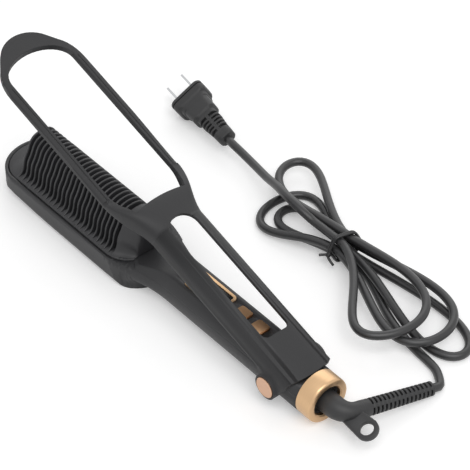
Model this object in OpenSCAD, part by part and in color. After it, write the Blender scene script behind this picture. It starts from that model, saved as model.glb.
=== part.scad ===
// Heated comb with a spring-opened clamp arm, a swivel cord and a two-blade plug.
// Millimetres. +X runs from the cord end to the comb's tip and +Z is up. The origin is under the
// middle of the tool, on the surface that the tool lies on. The clamp arm is drawn fully open.

/* [Handle] */
// Width and depth of the rounded handle
handle_w = 30; // [29:0.5:32]
// Length of the handle from the tail ring to its front wall
handle_len = 149; // [145:1:155]
// Height of the flat deck over the handle's axis
deck_rise = 10.9; // [10.7:0.1:11.6]
// Wall of the handle and head shells
wall = 2; // [1.6:0.1:2.4]

/* [Tail ring] */
// Length of the gold ring at the cord end
ring_len = 11.5; // [10:0.5:13]
// Radius of the opening in the ring's rear face
ring_bore_r = 10; // [9.5:0.1:10.5]

/* [Comb head] */
// Length of the head in front of the handle's front wall
head_len = 129.5; // [125:0.5:135]
// Width of the head across its rim
head_w = 50; // [48:0.5:54]
// Height of the rim above the surface, where the upper and lower shells also meet
rim_z = 19; // [18:0.5:20]
// How far the rim stands out past the foot of the head's side walls
side_taper = 1.5; // [0.5:0.5:2.5]
// Height of the underside above the surface at the head's tip
nose_rise = 9; // [6:0.5:11]
// Thickness of the tray that fills the head's mouth
tray_t = 2.6; // [2:0.2:3.2]
// Width of the groove between the rim and the tray
groove_w = 0.8; // [0.5:0.1:0.9]

/* [Fins] */
// Number of fins across the comb
fin_count = 23; // [21:1:24]
// Distance from one fin to the next
fin_pitch = 3.95; // [3.8:0.05:4.1]
// Thickness of a fin
fin_t = 1.2; // [1:0.1:1.5]
// Height of a fin's crest above the rim
fin_h = 27.4; // [25:0.2:28]
// Half of the width across a fin's foot
fin_foot = 22; // [21:0.5:22]
// Distance from the head's tip to the first fin
tip_ledge = 26; // [25:0.5:28]

/* [Clamp arm] */
// Angle between the open arm and the handle
open_angle = 17; // [14:0.5:18]
// Distance of the hinge from the tail ring's rear face
hinge_x = 32; // [30:0.5:34]
// Length of the arm in front of the hinge
arm_len = 272.5; // [268:0.5:273]
// Height of the arm's top over the hinge
arm_top = 18.6; // [18.4:0.1:19.5]
// Wall of the arm's channel and deck
arm_wall = 2.3; // [1.8:0.1:2.4]
// Gap between the arm's cheeks and the sides of the handle
cheek_gap = 1; // [0.8:0.1:1.4]
// Height of the skirt's lower edge over the hinge
skirt_h = 6; // [5:0.5:7]
// Width across the loop at the front of the arm
loop_w = 56.8; // [55:0.2:58]
// Width of each rail of the loop
rail_w = 5; // [4:0.2:5.4]
// Height of each rail of the loop
rail_h = 4.4; // [4:0.2:5]
// Height of the rails' underside over the hinge
rail_base = 8.8; // [8:0.2:10]
// Width of the window over the controls
window_w = 19.1; // [18.8:0.1:20]
// Where the window starts, in front of the hinge
window_start = 18; // [16:0.5:20]
// Where the window ends, in front of the hinge
window_end = 113; // [110:0.5:114]

/* [Hinge] */
// Radius of the hinge axle
axle_r = 2.5; // [2:0.1:3]
// Radius of the gold cap over each end of the axle
cap_r = 6.7; // [6:0.1:7]
// Radius of the round boss that carries each cap
boss_r = 8.2; // [8:0.1:9]
// How far each cap stands out past its boss
cap_proud = 0.9; // [0.4:0.1:1.4]
// Wire radius of the return spring
spring_wire_r = 0.6; // [0.5:0.05:0.7]

/* [Controls] */
// Length of a button
button_len = 10; // [9:0.5:11]
// Width of a button
button_w = 13.2; // [12:0.2:14]
// Corner radius of a button
button_corner = 2.2; // [1:0.1:3]
// Height of a button over the deck
button_proud = 1.4; // [1.2:0.1:1.8]
// How far a button travels
button_travel = 0.8; // [0.4:0.1:0.9]
// Distance from the tail to the middle of the rear button
rear_button_x = 62; // [60:0.5:63]
// Distance from one button to the next
button_pitch = 15; // [14:0.5:15.5]
// Distance from the tail to the rear edge of the display frame
frame_x = 88; // [87:0.5:90]
// Length of the display frame
frame_len = 32; // [28:0.5:34]
// Width of the display frame
frame_w = 16.2; // [15:0.2:17]

/* [Swivel and strain relief] */
// Radius of the swivel's shaft
swivel_r = 5; // [4:0.1:5.5]
// Radius of the stub that leaves the tail ring
stub_r = 7; // [6.5:0.1:7.5]
// Length of the ribbed sleeve
sleeve_len = 52.2; // [50:0.2:54]
// Radius of the sleeve's ribs at its root
sleeve_root_r = 4.8; // [4.4:0.1:5]
// Radius of the sleeve's ribs at its end
sleeve_tip_r = 3.9; // [3.7:0.1:4.2]
// Number of ribs on the sleeve
rib_count = 14; // [12:1:16]
// Radius of the hole in the hanging tab
hang_r = 3.9; // [3.4:0.1:4.2]
// Radius of the hanging tab around its hole
tab_r = 6.8; // [6.4:0.1:7.4]
// Thickness of the hanging tab
tab_t = 5; // [4:0.2:6]

/* [Cord and plug] */
// Diameter of the cord
cord_d = 5.5; // [5.3:0.1:5.6]
// Width of the plug across its blades
plug_w = 25.4; // [25:0.2:26.5]
// Thickness of the plug
plug_t = 17; // [16:0.5:18]
// Distance between the two blades
blade_pitch = 12.7; // [12.6:0.1:12.8]
// Width of a blade
blade_w = 6.35; // [6.2:0.05:6.5]
// Thickness of a blade
blade_t = 1.5; // [1.4:0.05:1.6]
// Length of a blade in front of the plug's face
blade_len = 16; // [15.5:0.1:17.5]

/* [Hidden] */
$fn = 48;
// Clearances: a shaft in its bore, and a piece beside its neighbour
running = 0.05;
seat = 0.3;

// Handle and head, from the tail ring's rear face
axis_z = handle_w / 2;
front_x = ring_len + handle_len;
tool_len = front_x + head_len;
deck_z = axis_z + deck_rise;
half_w = handle_w / 2;
head_half = head_w / 2;
neck_len = 26.5;
neck_x = front_x + 15.5;
nose_len = 22;
nose_x = tool_len - nose_len;
belly_x = neck_x + 20;
foot_edge_r = 5;
relief_x = hinge_x - 4;
relief_depth = 0.9;
spigot_r = 12;
ring_lip = 3;

// Tray and fins
tray_half = head_half - wall - groove_w;
tray_neck_x = front_x - 2.5;
tray_z = rim_z - tray_t;
tray_ledge = 2.5;
last_fin_x = tool_len - tip_ledge - (fin_count - 1) * fin_pitch;
first_fin_x = tool_len - tip_ledge;
crest_z = rim_z + fin_h;
block_half = 11;
block_z = 7.5;
heater_top = 16.5;
heater_t = 3;
mica_t = 0.6;

// Controls
button_top = deck_z + button_proud;
board_z = 15;
board_t = 1.6;
board_x0 = 50;
board_x1 = frame_x + frame_len + 1;
board_half = half_w - wall - seat;
switch_h = 3.6;
plunger_h = 0.8;
stem_z = board_z + board_t + switch_h + plunger_h + button_travel + 0.05;
lens_t = 1.6;
frame_border = 1.7;

// Arm, from the hinge
arm_inner = half_w + cheek_gap;
arm_outer = arm_inner + arm_wall;
arm_ceiling = arm_top - arm_wall;
deck_end = 127.5;
loop_start = 146;
loop_end = arm_len - 13.5;
loop_half = loop_w / 2;
rail_inner = loop_half - rail_w;
rail_top = rail_base + rail_h;
boss_face = arm_outer + 2;
cap_floor = boss_face - 1.2;
axle_half = cap_floor - seat;

// Swivel
socket_x = 5;
socket_len = 13;
socket_r = 8.5;
flange_x = socket_x + socket_len + seat;
flange_t = 2.4;
core_len = 26;
roll = 10;
elbow = [-13, -4];
sleeve_root = [-15, -9];
sleeve_lean = 10.4;
sleeve_smooth = 8;
tab_x = -29;
tab_y = -3;
sleeve_tip = sleeve_root - sleeve_len * [sin(sleeve_lean), cos(sleeve_lean)];
sleeve_end = [sleeve_tip[0] - tool_len / 2, sleeve_tip[1] * cos(roll), axis_z + sleeve_tip[1] * sin(roll)];
sleeve_axis = [-sin(sleeve_lean), -cos(sleeve_lean) * cos(roll), -cos(sleeve_lean) * sin(roll)];

// Plug: the middle of its face, and how it lies
plug_face = [117.4, -115.5, 12.5];
plug_yaw = -9.2;
plug_roll = -31.7;
shoulder_x = 15;
relief_start = 29;
plug_len = 49.6;
shoulder_w = 20;
relief_w = 14.4;
relief_end_w = 10;

// Cord route outside the hank, by hand: from the sleeve to the hank, and from the hank to the plug
cord_sides = 8;
hank_mid = [-52, -98];

charcoal = [0.26, 0.26, 0.27];
black = [0.1, 0.1, 0.11];
gold = [0.78, 0.6, 0.42];
steel = [0.75, 0.76, 0.78];

// ---- Helpers ----

// Moves to the tail ring's rear face
module from_tail() { translate([-tool_len / 2, 0, 0]) children(); }

// Extrudes a section drawn in Y and Z along X
module along_x(x0, x1) {
    translate([x0, 0, 0]) rotate([90, 0, 90]) linear_extrude(x1 - x0) children();
}

// Extrudes a side view drawn in X and Z along Y
module along_y(y0, y1) {
    translate([0, y1, 0]) rotate([90, 0, 0]) linear_extrude(y1 - y0) children();
}

// Extrudes a plan drawn in X and Y along Z
module along_z(z0, z1) { translate([0, 0, z0]) linear_extrude(z1 - z0) children(); }

// A cylinder along X, Y or Z
module rod_x(x0, x1, r) { translate([x0, 0, 0]) rotate([0, 90, 0]) cylinder(r = r, h = x1 - x0); }
module rod_y(y0, y1, r) { translate([0, y1, 0]) rotate([90, 0, 0]) cylinder(r = r, h = y1 - y0); }

// A rectangle with round corners, about its middle
module round_rect(length, width, r) {
    square([length - 2 * r, width], center = true);
    square([length, width - 2 * r], center = true);
    for (sx = [-1, 1], sy = [-1, 1])
        translate([sx * (length / 2 - r), sy * (width / 2 - r)]) circle(r = r);
}

function mix(a, b, t) = a * (1 - t) + b * t;
function ease(t) = let (u = max(0, min(1, t))) u * u * (3 - 2 * u);
function arc(cx, cy, rx, ry, a0, a1, n) =
    [for (i = [0:n]) let (a = mix(a0, a1, i / n)) [cx + rx * cos(a), cy + ry * sin(a)]];
function mirrored(points) = concat(points, [for (i = [len(points) - 1:-1:0])
    if (abs(points[i][1]) > 0.001) [points[i][0], -points[i][1]]]);

// ---- Handle and head ----

// Section of the handle: round, with a flat deck cut across its top
module handle_section(inset) {
    intersection() {
        translate([0, axis_z]) circle(r = half_w - inset, $fn = 72);
        translate([-half_w, -1]) square([handle_w, deck_z - inset + 1]);
    }
}

// Plan of the head: elliptical at the neck and the tip
module head_plan(inset) {
    polygon(mirrored(concat(
        arc(neck_x, 0, neck_len - inset, head_half - inset, 180, 90, 14),
        arc(nose_x, 0, nose_len - inset, head_half - inset, 90, 0, 12))));
}

// Side view of the head: flat belly, underside rising to the tip
module head_side(inset) {
    bottom = inset;
    polygon([
        [neck_x - neck_len, bottom], [belly_x, bottom],
        [nose_x, nose_rise * 0.6 + bottom], [tool_len - 5, nose_rise + bottom],
        [tool_len + 1, nose_rise + 4 + bottom], [tool_len + 1, rim_z + 1],
        [neck_x - neck_len, rim_z + 1]]);
}

// Section of the head: walls that lean in, and a round foot
module head_section(inset) {
    r = foot_edge_r - inset / 2;
    w = head_half - inset;
    foot = w - side_taper;
    translate([0, inset]) polygon(concat(
        [[-w, rim_z + 1], [w, rim_z + 1]],
        arc(foot - r, r, r, r, 0, -90, 6), arc(-foot + r, r, r, r, -90, -180, 6)));
}

module head_form(inset) {
    intersection() {
        along_z(0, rim_z) head_plan(inset);
        along_y(-head_half, head_half) head_side(inset);
        along_x(neck_x - neck_len, tool_len) head_section(inset);
    }
}

// Top of the handle behind the hinge, lowered to let the arm's rear edge swing
module tail_slope() {
    along_y(-half_w - 1, half_w + 1) polygon([
        [ring_len - 1, deck_z - relief_depth], [relief_x, deck_z],
        [relief_x, deck_z + 2], [ring_len - 1, deck_z + 2]]);
}

// The handle's outside, with the spigot that carries the tail ring
module handle_form() {
    difference() {
        union() {
            along_x(ring_len, front_x) handle_section(0);
            translate([0, 0, axis_z]) rod_x(ring_lip + seat, ring_len + 1, spigot_r);
            translate([hinge_x, 0, axis_z])
                rod_y(-half_w - cheek_gap + seat, half_w + cheek_gap - seat, boss_r);
        }
        tail_slope();
    }
}

// The space inside the handle, with the bores for the swivel and the axle
module handle_space() {
    along_x(relief_x + wall, front_x - wall) handle_section(wall);
    translate([0, 0, axis_z]) rod_x(0, ring_len, socket_r + 1.5);
    translate([0, 0, axis_z]) rod_x(0, relief_x + wall + 1, socket_r + seat);
    translate([hinge_x, 0, axis_z]) rod_y(-half_w - 3, half_w + 3, axle_r + running);
}

screw_r = 1.4;
screw_head_r = 2.6;
post_r = 3.6;
handle_screws = [board_x0 - 6, board_x1 + 8];
screw_head_h = 1.6;
screw_floor = 3.2;
post_top = rim_z - 4;

module at_screws() {
    for (x = handle_screws) translate([x, 0, 0]) children();
}

module screw_hole() {
    translate([0, 0, -1]) cylinder(r = screw_head_r + seat, h = 1 + screw_floor);
    cylinder(r = screw_r + running, h = rim_z + 1);
}

module lower_shell() {
    color(charcoal) from_tail() difference() {
        union() {
            difference() {
                union() {
                    intersection() {
                        handle_form();
                        along_x(0, front_x) translate([-half_w * 2, -1]) square([half_w * 4, rim_z + 1]);
                    }
                    head_form(0);
                }
                intersection() {
                    handle_space();
                    cube([front_x * 2, 2 * half_w + 8, 2 * rim_z + 2], center = true);
                }
                intersection() {
                    head_form(wall);
                    translate([0, 0, -1]) along_z(0, tray_z + 2) head_plan(wall + tray_ledge);
                }
                along_z(tray_z, rim_z + 1) tray_plan(-groove_w);
            }
            at_screws() along_z(wall * 0.3, post_top) circle(r = post_r);
        }
        at_screws() screw_hole();
        translate([hinge_x, 0, axis_z]) rod_y(-half_w - 3, half_w + 3, axle_r + running);
    }
}

module upper_shell() {
    color(charcoal) from_tail() difference() {
        union() {
            difference() {
                handle_form();
                handle_space();
                translate([0, 0, -1]) along_z(0, rim_z + 1) translate([-5, -2 * half_w])
                    square([front_x + 10, 4 * half_w]);
                button_holes();
                frame_hole();
                translate([hinge_x + 4, -spring_slot / 2, deck_z - 4]) cube([6, spring_slot, 8]);
            }
            at_screws() along_z(post_top, deck_z - wall / 2) circle(r = post_r);
        }
        at_screws() translate([0, 0, post_top - 1]) cylinder(r = screw_r, h = 8);
    }
}

module housing_screws() {
    color(steel) from_tail() at_screws() difference() {
        union() {
            translate([0, 0, screw_floor - screw_head_h]) cylinder(r = screw_head_r, h = screw_head_h);
            translate([0, 0, screw_floor - 0.1]) cylinder(r = screw_r, h = rim_z - screw_floor);
        }
        for (a = [0, 90]) rotate([0, 0, a]) translate([-1.8, -0.35, 1]) cube([3.6, 0.7, 1.4]);
    }
}

module tail_ring() {
    color(gold) from_tail() translate([0, 0, axis_z]) rotate([0, 90, 0]) rotate_extrude($fn = 96)
        polygon([
            [ring_bore_r, 0.8], [ring_bore_r + 0.8, 0], [half_w - 1.5, 0], [half_w - 0.4, 0.4],
            [half_w, 1.5], [half_w, ring_len - seat], [spigot_r + seat, ring_len - seat],
            [spigot_r + seat, ring_lip], [ring_bore_r, ring_lip]]);
}

// ---- Comb ----

// Plan of the tray in the head's mouth
module tray_plan(inset) {
    polygon(mirrored(concat(
        arc(neck_x, 0, neck_x - tray_neck_x - inset, tray_half - inset, 180, 90, 14),
        arc(nose_x, 0, nose_len - wall - groove_w - inset, tray_half - inset, 90, 0, 12))));
}

module comb_tray() {
    color([0.36, 0.36, 0.37]) from_tail() difference() {
        along_z(tray_z, rim_z) tray_plan(0);
        translate([(last_fin_x + first_fin_x) / 2, 0, rim_z])
            cube([first_fin_x - last_fin_x + 4 + 2 * seat, 2 * (block_half + seat), 12], center = true);
    }
}

// Half of a fin's outline from its foot to its crest, as Y and the height over the rim
function fin_edge(k) = [for (p = [
    [1, 0], [0.91, 0.025], [0.82, 0.075], [0.75, 0.18], [0.705, 0.365], [0.66, 0.47],
    [0.59, 0.565], [0.52, 0.68], [0.47, 0.78], [0.40, 0.87], [0.29, 0.947], [0.15, 0.988],
    [0, 1]]) [k * fin_foot * p[0], rim_z + fin_h * p[1]]];

module fin_profile() {
    right = fin_edge(1);
    polygon(concat(right, [for (i = [len(right) - 2:-1:0]) [-right[i][0], right[i][1]]]));
}

module fin_block() {
    color([0.2, 0.2, 0.21]) from_tail() difference() {
        union() {
            for (i = [0:fin_count - 1]) translate([first_fin_x - i * fin_pitch, 0, 0])
                along_x(-fin_t / 2, fin_t / 2) fin_profile();
            along_x(last_fin_x - 2, first_fin_x + 0.6) fin_core();
            along_x(last_fin_x - 2, first_fin_x + 2) translate([-block_half, block_z])
                square([2 * block_half, rim_z - block_z + 0.5]);
            neck_block();
        }
        translate([last_fin_x + 2, -7, block_z - 1])
            cube([first_fin_x - last_fin_x - 4, 14, heater_top - block_z + 1]);
    }
}

// Core that the fins stand on, a third lower than they are
module fin_core() {
    polygon([
        [-12, rim_z], [-9, rim_z + fin_h * 0.35], [-6, rim_z + fin_h * 0.58], [-2.5, rim_z + fin_h * 0.68],
        [2.5, rim_z + fin_h * 0.68], [6, rim_z + fin_h * 0.58], [9, rim_z + fin_h * 0.35], [12, rim_z]]);
}

// Smooth block behind the last fin, sloping down to the handle's front wall
module neck_block() {
    x1 = last_fin_x - fin_pitch / 2;
    x0 = front_x + seat;
    intersection() {
        along_x(x0, last_fin_x) fin_profile();
        along_y(-head_half, head_half) polygon([
            [x0, rim_z], [x0, deck_z - 0.5], [x1 - 5, crest_z - 0.8], [x1 - 3, crest_z],
            [last_fin_x, crest_z], [last_fin_x, rim_z]]);
        along_z(rim_z, crest_z) polygon(mirrored([
            [x0, 7], [x0 + 3.5, 14.5], [x0 + 7, 19], [x0 + 11, fin_foot],
            [last_fin_x, fin_foot]]));
    }
}

module heater_plate() {
    color([0.9, 0.89, 0.85]) from_tail()
        translate([last_fin_x + 4, -6.7, heater_top - heater_t])
            cube([first_fin_x - last_fin_x - 8, 13.4, heater_t]);
}

module mica_sheet() {
    color([0.62, 0.55, 0.4]) from_tail()
        translate([last_fin_x + 4, -6.7, heater_top - heater_t - mica_t])
            cube([first_fin_x - last_fin_x - 8, 13.4, mica_t]);
}

module heater_bracket() {
    color(steel) from_tail() difference() {
        translate([last_fin_x + 10, -10, block_z - 1]) cube([first_fin_x - last_fin_x - 20, 20, 6.4]);
        translate([last_fin_x + 9, -11, block_z]) cube([first_fin_x - last_fin_x - 18, 5, 6]);
        translate([last_fin_x + 9, 6, block_z]) cube([first_fin_x - last_fin_x - 18, 5, 6]);
        translate([last_fin_x + 9, -5, block_z]) cube([first_fin_x - last_fin_x - 18, 10, 4.4]);
    }
}

module thermistor() {
    color([0.75, 0.35, 0.2]) from_tail() translate([last_fin_x + 20, 0, block_z + 1.4])
        rod_x(0, 6, 1.4);
}

module thermal_fuse() {
    color([0.8, 0.8, 0.75]) from_tail() translate([last_fin_x + 40, 0, block_z + 2])
        rod_x(0, 12, 2);
}

// ---- Controls ----

button_x = [rear_button_x, rear_button_x + button_pitch];

module button_holes() {
    for (x = button_x) translate([x, 0, deck_z - 4])
        linear_extrude(8) round_rect(button_len + 2 * seat, button_w + 2 * seat, button_corner + seat);
}

module frame_hole() {
    translate([frame_x + frame_len / 2, 0, deck_z - 4])
        linear_extrude(8) round_rect(frame_len - 2, frame_w - 2, 2);
}

module button(x) {
    color(gold) from_tail() translate([x, 0, 0]) {
        translate([0, 0, deck_z - wall - seat]) linear_extrude(button_proud + wall + seat - 0.5)
            round_rect(button_len, button_w, button_corner);
        translate([0, 0, button_top - 0.5]) linear_extrude(0.5)
            round_rect(button_len - 0.8, button_w - 0.8, button_corner - 0.4);
        translate([0, 0, deck_z - wall - seat - 0.8]) linear_extrude(0.8)
            round_rect(button_len + 2, button_w + 2, button_corner);
        translate([0, 0, stem_z]) cylinder(r = 1.8, h = deck_z - wall - seat - stem_z);
    }
}

module power_button() { button(button_x[0]); }
module temperature_button() { button(button_x[1]); }

module control_board() {
    color([0.1, 0.35, 0.2]) from_tail() difference() {
        translate([board_x0, -board_half, board_z]) cube([board_x1 - board_x0, 2 * board_half, board_t]);
        for (x = [board_x0 + 3, board_x1 - 3], y = [-board_half + 3, board_half - 3])
            translate([x, y, board_z - 1]) cylinder(r = 1.2, h = 4);
    }
}

module tact_switches() {
    color(black) from_tail() for (x = button_x) translate([x, 0, board_z + board_t]) {
        translate([-3, -3, 0]) cube([6, 6, switch_h]);
        translate([0, 0, switch_h]) cylinder(r = 1.7, h = plunger_h);
    }
}

module display_module() {
    color([0.85, 0.85, 0.85]) from_tail()
        translate([frame_x + frame_len / 2 - 12, -6, board_z + board_t])
        cube([24, 12, deck_z - lens_t - board_z - board_t - seat]);
}

module display_lens() {
    color(black) from_tail() translate([frame_x + frame_len / 2, 0, deck_z - lens_t])
        linear_extrude(lens_t + 0.4)
        round_rect(frame_len - 2 * frame_border - 2 * running, frame_w - 2 * frame_border - 2 * running, 1.5);
}

module display_frame() {
    color(gold) from_tail() translate([frame_x + frame_len / 2, 0, 0]) difference() {
        union() {
            along_z(deck_z, deck_z + 1) round_rect(frame_len, frame_w, 3);
            along_z(deck_z - wall, deck_z + 0.5)
                round_rect(frame_len - 2 - 2 * running, frame_w - 2 - 2 * running, 2);
        }
        along_z(deck_z - wall - 1, deck_z + 2)
            round_rect(frame_len - 2 * frame_border, frame_w - 2 * frame_border, 1.5);
    }
}

// ---- Hinge and arm ----

// Moves to the hinge, in the arm's own frame
module at_hinge() { from_tail() translate([hinge_x, 0, axis_z]) rotate([0, -open_angle, 0]) children(); }

module hinge_axle() {
    color(steel) from_tail() translate([hinge_x, 0, axis_z]) rod_y(-axle_half, axle_half, axle_r);
}

// Points of a rounded arch from one side to the other. A higher exponent makes its shoulders squarer
function arch(w, base, top, n) = [for (i = [0:arch_steps]) let (a = 180 * i / arch_steps, c = cos(a))
    [w * sign(c) * pow(abs(c), 2 / n), base + (top - base) * pow(sin(a), 2 / n)]];

// Section of the arm's channel, with the height over the hinge as its second value
module channel_section(w, top, n) {
    drop = -boss_r - 1;
    polygon(concat([[w, drop]], arch(w, skirt_h + 2, top, n), [[-w, drop]]));
}

// Side view of the arm
module arm_side() {
    polygon([
        [-7.5, -2], [0, -2], [9, skirt_h - 2], [13, skirt_h], [deck_end - 6, skirt_h],
        [loop_start - 1, rail_base], [arm_len, rail_base], [arm_len, rail_top],
        [loop_start, rail_top], [deck_end, arm_top], [-14.5, arm_top]]);
    circle(r = boss_r);
}

// One section of the bridge that widens from the channel to the loop: its outside from one lower
// edge over to the other, and its inside back. It starts inside the channel's wall, drawn in by a hair
flare_x0 = 108;
flare_root = 4;
flare_inset = 0.2;
arch_steps = 20;
outer_round = 3;
inner_round = 2.8;
rail_round = 8;
function flare(x) = ease((x - flare_x0) / (loop_start - flare_x0));
function bridge_ring(x) =
    let (t = flare(x),
         d = ease((x - deck_end + 3) / (loop_start - deck_end + 3)),
         g = flare_inset * max(0, 1 - (x - flare_x0 + flare_root) / (2 * flare_root)),
         low = mix(skirt_h, rail_base, d) + g,
         base = mix(skirt_h + 2, rail_base + 1.5, d),
         o = mix(arm_outer, loop_half, t) - g,
         i = mix(arm_inner, rail_inner, t) + g,
         over = arch(o, base, mix(arm_top, rail_top, d) - g, mix(outer_round, rail_round, t)),
         under = arch(-i, base, mix(arm_ceiling, rail_top - 1.4, d) + g, mix(inner_round, rail_round, t)))
    [for (p = concat([[o, low]], over, [[-o, low], [-i, low]], under, [[i, low]])) [x, p[0], p[1]]];

module bridge() {
    steps = 13;
    rings = [for (s = [0:steps]) bridge_ring(mix(flare_x0 - flare_root, loop_start, s / steps))];
    sides = len(rings[0]);
    cap = [for (k = [0:sides / 2 - 2])
        each [[k, k + 1, sides - 2 - k], [k, sides - 2 - k, sides - 1 - k]]];
    polyhedron(
        points = [for (ring = rings) each ring],
        faces = concat(
            cap,
            [for (s = [0:steps - 1], k = [0:sides - 1]) let (n = (k + 1) % sides)
                each [[s * sides + k, (s + 1) * sides + n, s * sides + n],
                      [s * sides + k, (s + 1) * sides + k, (s + 1) * sides + n]]],
            [for (f = cap) [for (k = [2, 1, 0]) steps * sides + f[k]]]));
}

// Plan of the opening inside the bridge, ahead of the deck's curved front edge
module bridge_hole_plan() {
    polygon(mirrored(concat(
        [for (i = [0:6]) let (y = bridge_hole(deck_end) * i / 6) [deck_end + deck_bow * (1 - pow(i / 6, 2)), y]],
        [for (i = [1:8]) let (x = mix(deck_end, loop_start, i / 8)) [x, bridge_hole(x)]],
        [[loop_start + 1, rail_inner], [loop_start + 1, 0]])));
}
deck_bow = 2.4;
function bridge_hole(x) = mix(arm_inner - 3.2, rail_inner, flare(x));

// Outline of the loop: straight rails, round shoulders and a visor at the tip
module loop_plan() {
    polygon(mirrored(concat(
        [[loop_start, loop_half]], arc(loop_end - 22, loop_half - 15, 24, 15, 90, 34, 6),
        arc(loop_end - 6, 0, arm_len - loop_end + 6, loop_half - 8, 58, 0, 8))));
}

module loop_hole_plan() {
    polygon(mirrored(concat(
        [[loop_start - 1, rail_inner]], arc(loop_end - 16, 0, 16, rail_inner, 90, 0, 10))));
}

module window_plan() {
    half = window_w / 2;
    translate([window_start + 4, -half]) square([window_end - half - window_start - 4, window_w]);
    translate([window_start, -half + 4]) square([5, window_w - 8]);
    translate([window_end - half, 0]) circle(r = half);
    for (side = [-1, 1]) translate([window_start + 4, side * (half - 4)]) circle(r = 4);
}

// Plan of the arm behind the bridge, with a bowed rear edge and round corners
module rear_plan() {
    polygon(mirrored(concat(
        arc(rear_x + rear_bow, 0, rear_bow, arm_outer + 0.5, 180, 95, 10),
        [[flare_x0 + 2, arm_outer + 1], [flare_x0 + 2, 0]])));
}
rear_x = -14.5;
rear_bow = 6;

// Small catches under the skirt's lower edges
nub_x = [30.8, 52.4, 74, 96.2];
nub_len = 1.6;
nub_h = 0.8;

module arm_solid() {
    intersection() {
        along_y(-arm_outer, arm_outer) arm_side();
        along_z(-boss_r, arm_top) rear_plan();
        difference() {
            along_x(-15, flare_x0) channel_section(arm_outer, arm_top, outer_round);
            along_x(-16, flare_x0 + 1) channel_section(arm_inner, arm_ceiling, inner_round);
        }
    }
    difference() {
        bridge();
        along_z(rail_base - 4, arm_top + 1) bridge_hole_plan();
    }
    along_z(rail_base, rail_top) difference() {
        loop_plan();
        loop_hole_plan();
    }
    for (x = nub_x, side = [-1, 1]) translate([x, side * (arm_inner + 0.9) - 0.5, skirt_h - nub_h])
        cube([nub_len, 1, nub_h + 0.5]);
    for (side = [-1, 1]) translate([0, side * (arm_outer + boss_face) / 2, 0])
        rod_y(-(boss_face - arm_outer) / 2 - 1, (boss_face - arm_outer) / 2, boss_r);
}

module clamp_arm() {
    color(charcoal) at_hinge() difference() {
        arm_solid();
        along_z(arm_ceiling - 5, arm_top + 1) window_plan();
        rod_y(-boss_face - 1, boss_face + 1, axle_r + running);
        for (side = [-1, 1]) translate([0, side * (cap_floor + 2), 0]) rod_y(-2, 2, cap_r + seat / 2);
        for (side = [0, 1]) mirror([0, side, 0]) along_z(rail_top - 0.4, rail_top + 1)
            translate([loop_start, rail_inner + 1.6]) square([loop_end - loop_start - 18, 0.6]);
    }
}

module pivot_caps() {
    color(gold) at_hinge() for (side = [0, 1]) mirror([0, side, 0])
        translate([0, cap_floor, 0]) rotate([-90, 0, 0]) rotate_extrude() polygon([
            [0, 0], [cap_r, 0], [cap_r, boss_face - cap_floor + cap_proud - 0.5],
            [cap_r - 0.5, boss_face - cap_floor + cap_proud], [0, boss_face - cap_floor + cap_proud]]);
}

// Return spring: four turns on the axle, one leg on the handle's floor and one under the arm
spring_turns = 4;
spring_slot = 6.4;
spring_r = axle_r + spring_wire_r + 0.5;
function spring_point(a) = [spring_r * cos(a), (a / 360 - spring_turns / 2) * 1.8, spring_r * sin(a)];

module return_spring() {
    foot = [spring_r, -spring_turns * 0.9, -axis_z + wall + spring_wire_r + 0.1];
    coil = [for (a = [0:45:360 * spring_turns + 45]) spring_point(a)];
    last = coil[len(coil) - 1];
    color(steel) from_tail() translate([hinge_x, 0, axis_z])
        tube(concat([foot], [[spring_r, -spring_turns * 0.9, -5]], coil,
            [[last[0] + 3, last[1] - 1.4, last[2] + 5], [7.5, 0.6, 17.4]]), spring_wire_r, 6);
}

// ---- Swept tubes ----

function unit(v) = v / norm(v);
function tangent(p, i) = unit(p[min(i + 1, len(p) - 1)] - p[max(i - 1, 0)]);
// Rings turned as little as possible from one to the next
function frames(p, i, n, out) = i >= len(p) ? out :
    let (t = tangent(p, i), m = unit(n - (n * t) * t)) frames(p, i + 1, m, concat(out, [m]));
function first_normal(t) = abs(t[2]) < 0.9 ? unit(cross(t, [0, 0, 1])) : unit(cross(t, [1, 0, 0]));

module tube(p, r, sides) {
    normals = frames(p, 0, first_normal(tangent(p, 0)), []);
    points = [for (i = [0:len(p) - 1], k = [0:sides - 1])
        let (t = tangent(p, i), n = normals[i], b = cross(t, n), a = (k + 0.5) * 360 / sides)
        p[i] + r * (cos(a) * n + sin(a) * b)];
    last = (len(p) - 1) * sides;
    polyhedron(points = points, faces = concat(
        [[for (k = [0:sides - 1]) k]],
        [for (i = [0:len(p) - 2], k = [0:sides - 1]) let (n = (k + 1) % sides)
            each [[i * sides + k, (i + 1) * sides + k, (i + 1) * sides + n],
                  [i * sides + k, (i + 1) * sides + n, i * sides + n]]],
        [[for (k = [sides - 1:-1:0]) last + k]]));
}

// ---- Swivel and strain relief ----

module at_swivel() { from_tail() translate([0, 0, axis_z]) rotate([roll, 0, 0]) children(); }

module swivel_socket() {
    color(black) from_tail() translate([0, 0, axis_z]) difference() {
        union() {
            rod_x(socket_x, socket_x + 2, ring_bore_r - running);
            rod_x(socket_x, ring_len - 1, socket_r + 1);
            rod_x(ring_len - 2, socket_x + socket_len, socket_r);
        }
        rod_x(0, socket_x + socket_len + 1, swivel_r + running);
    }
}

module swivel_core() {
    color(black) at_swivel() difference() {
        union() {
            rod_x(0, core_len, swivel_r);
            rod_x(flange_x, flange_x + flange_t, socket_r - 0.6);
        }
        rod_x(core_len - 6, core_len + 1, 1.6);
    }
}

module slip_rings() {
    color([0.8, 0.62, 0.3]) at_swivel() for (i = [0, 1])
        translate([flange_x + flange_t + 0.4 + i * 2.4, 0, 0]) difference() {
            rod_x(0, 1.6, swivel_r + 0.8);
            rod_x(-1, 3, swivel_r);
        }
}

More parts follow.
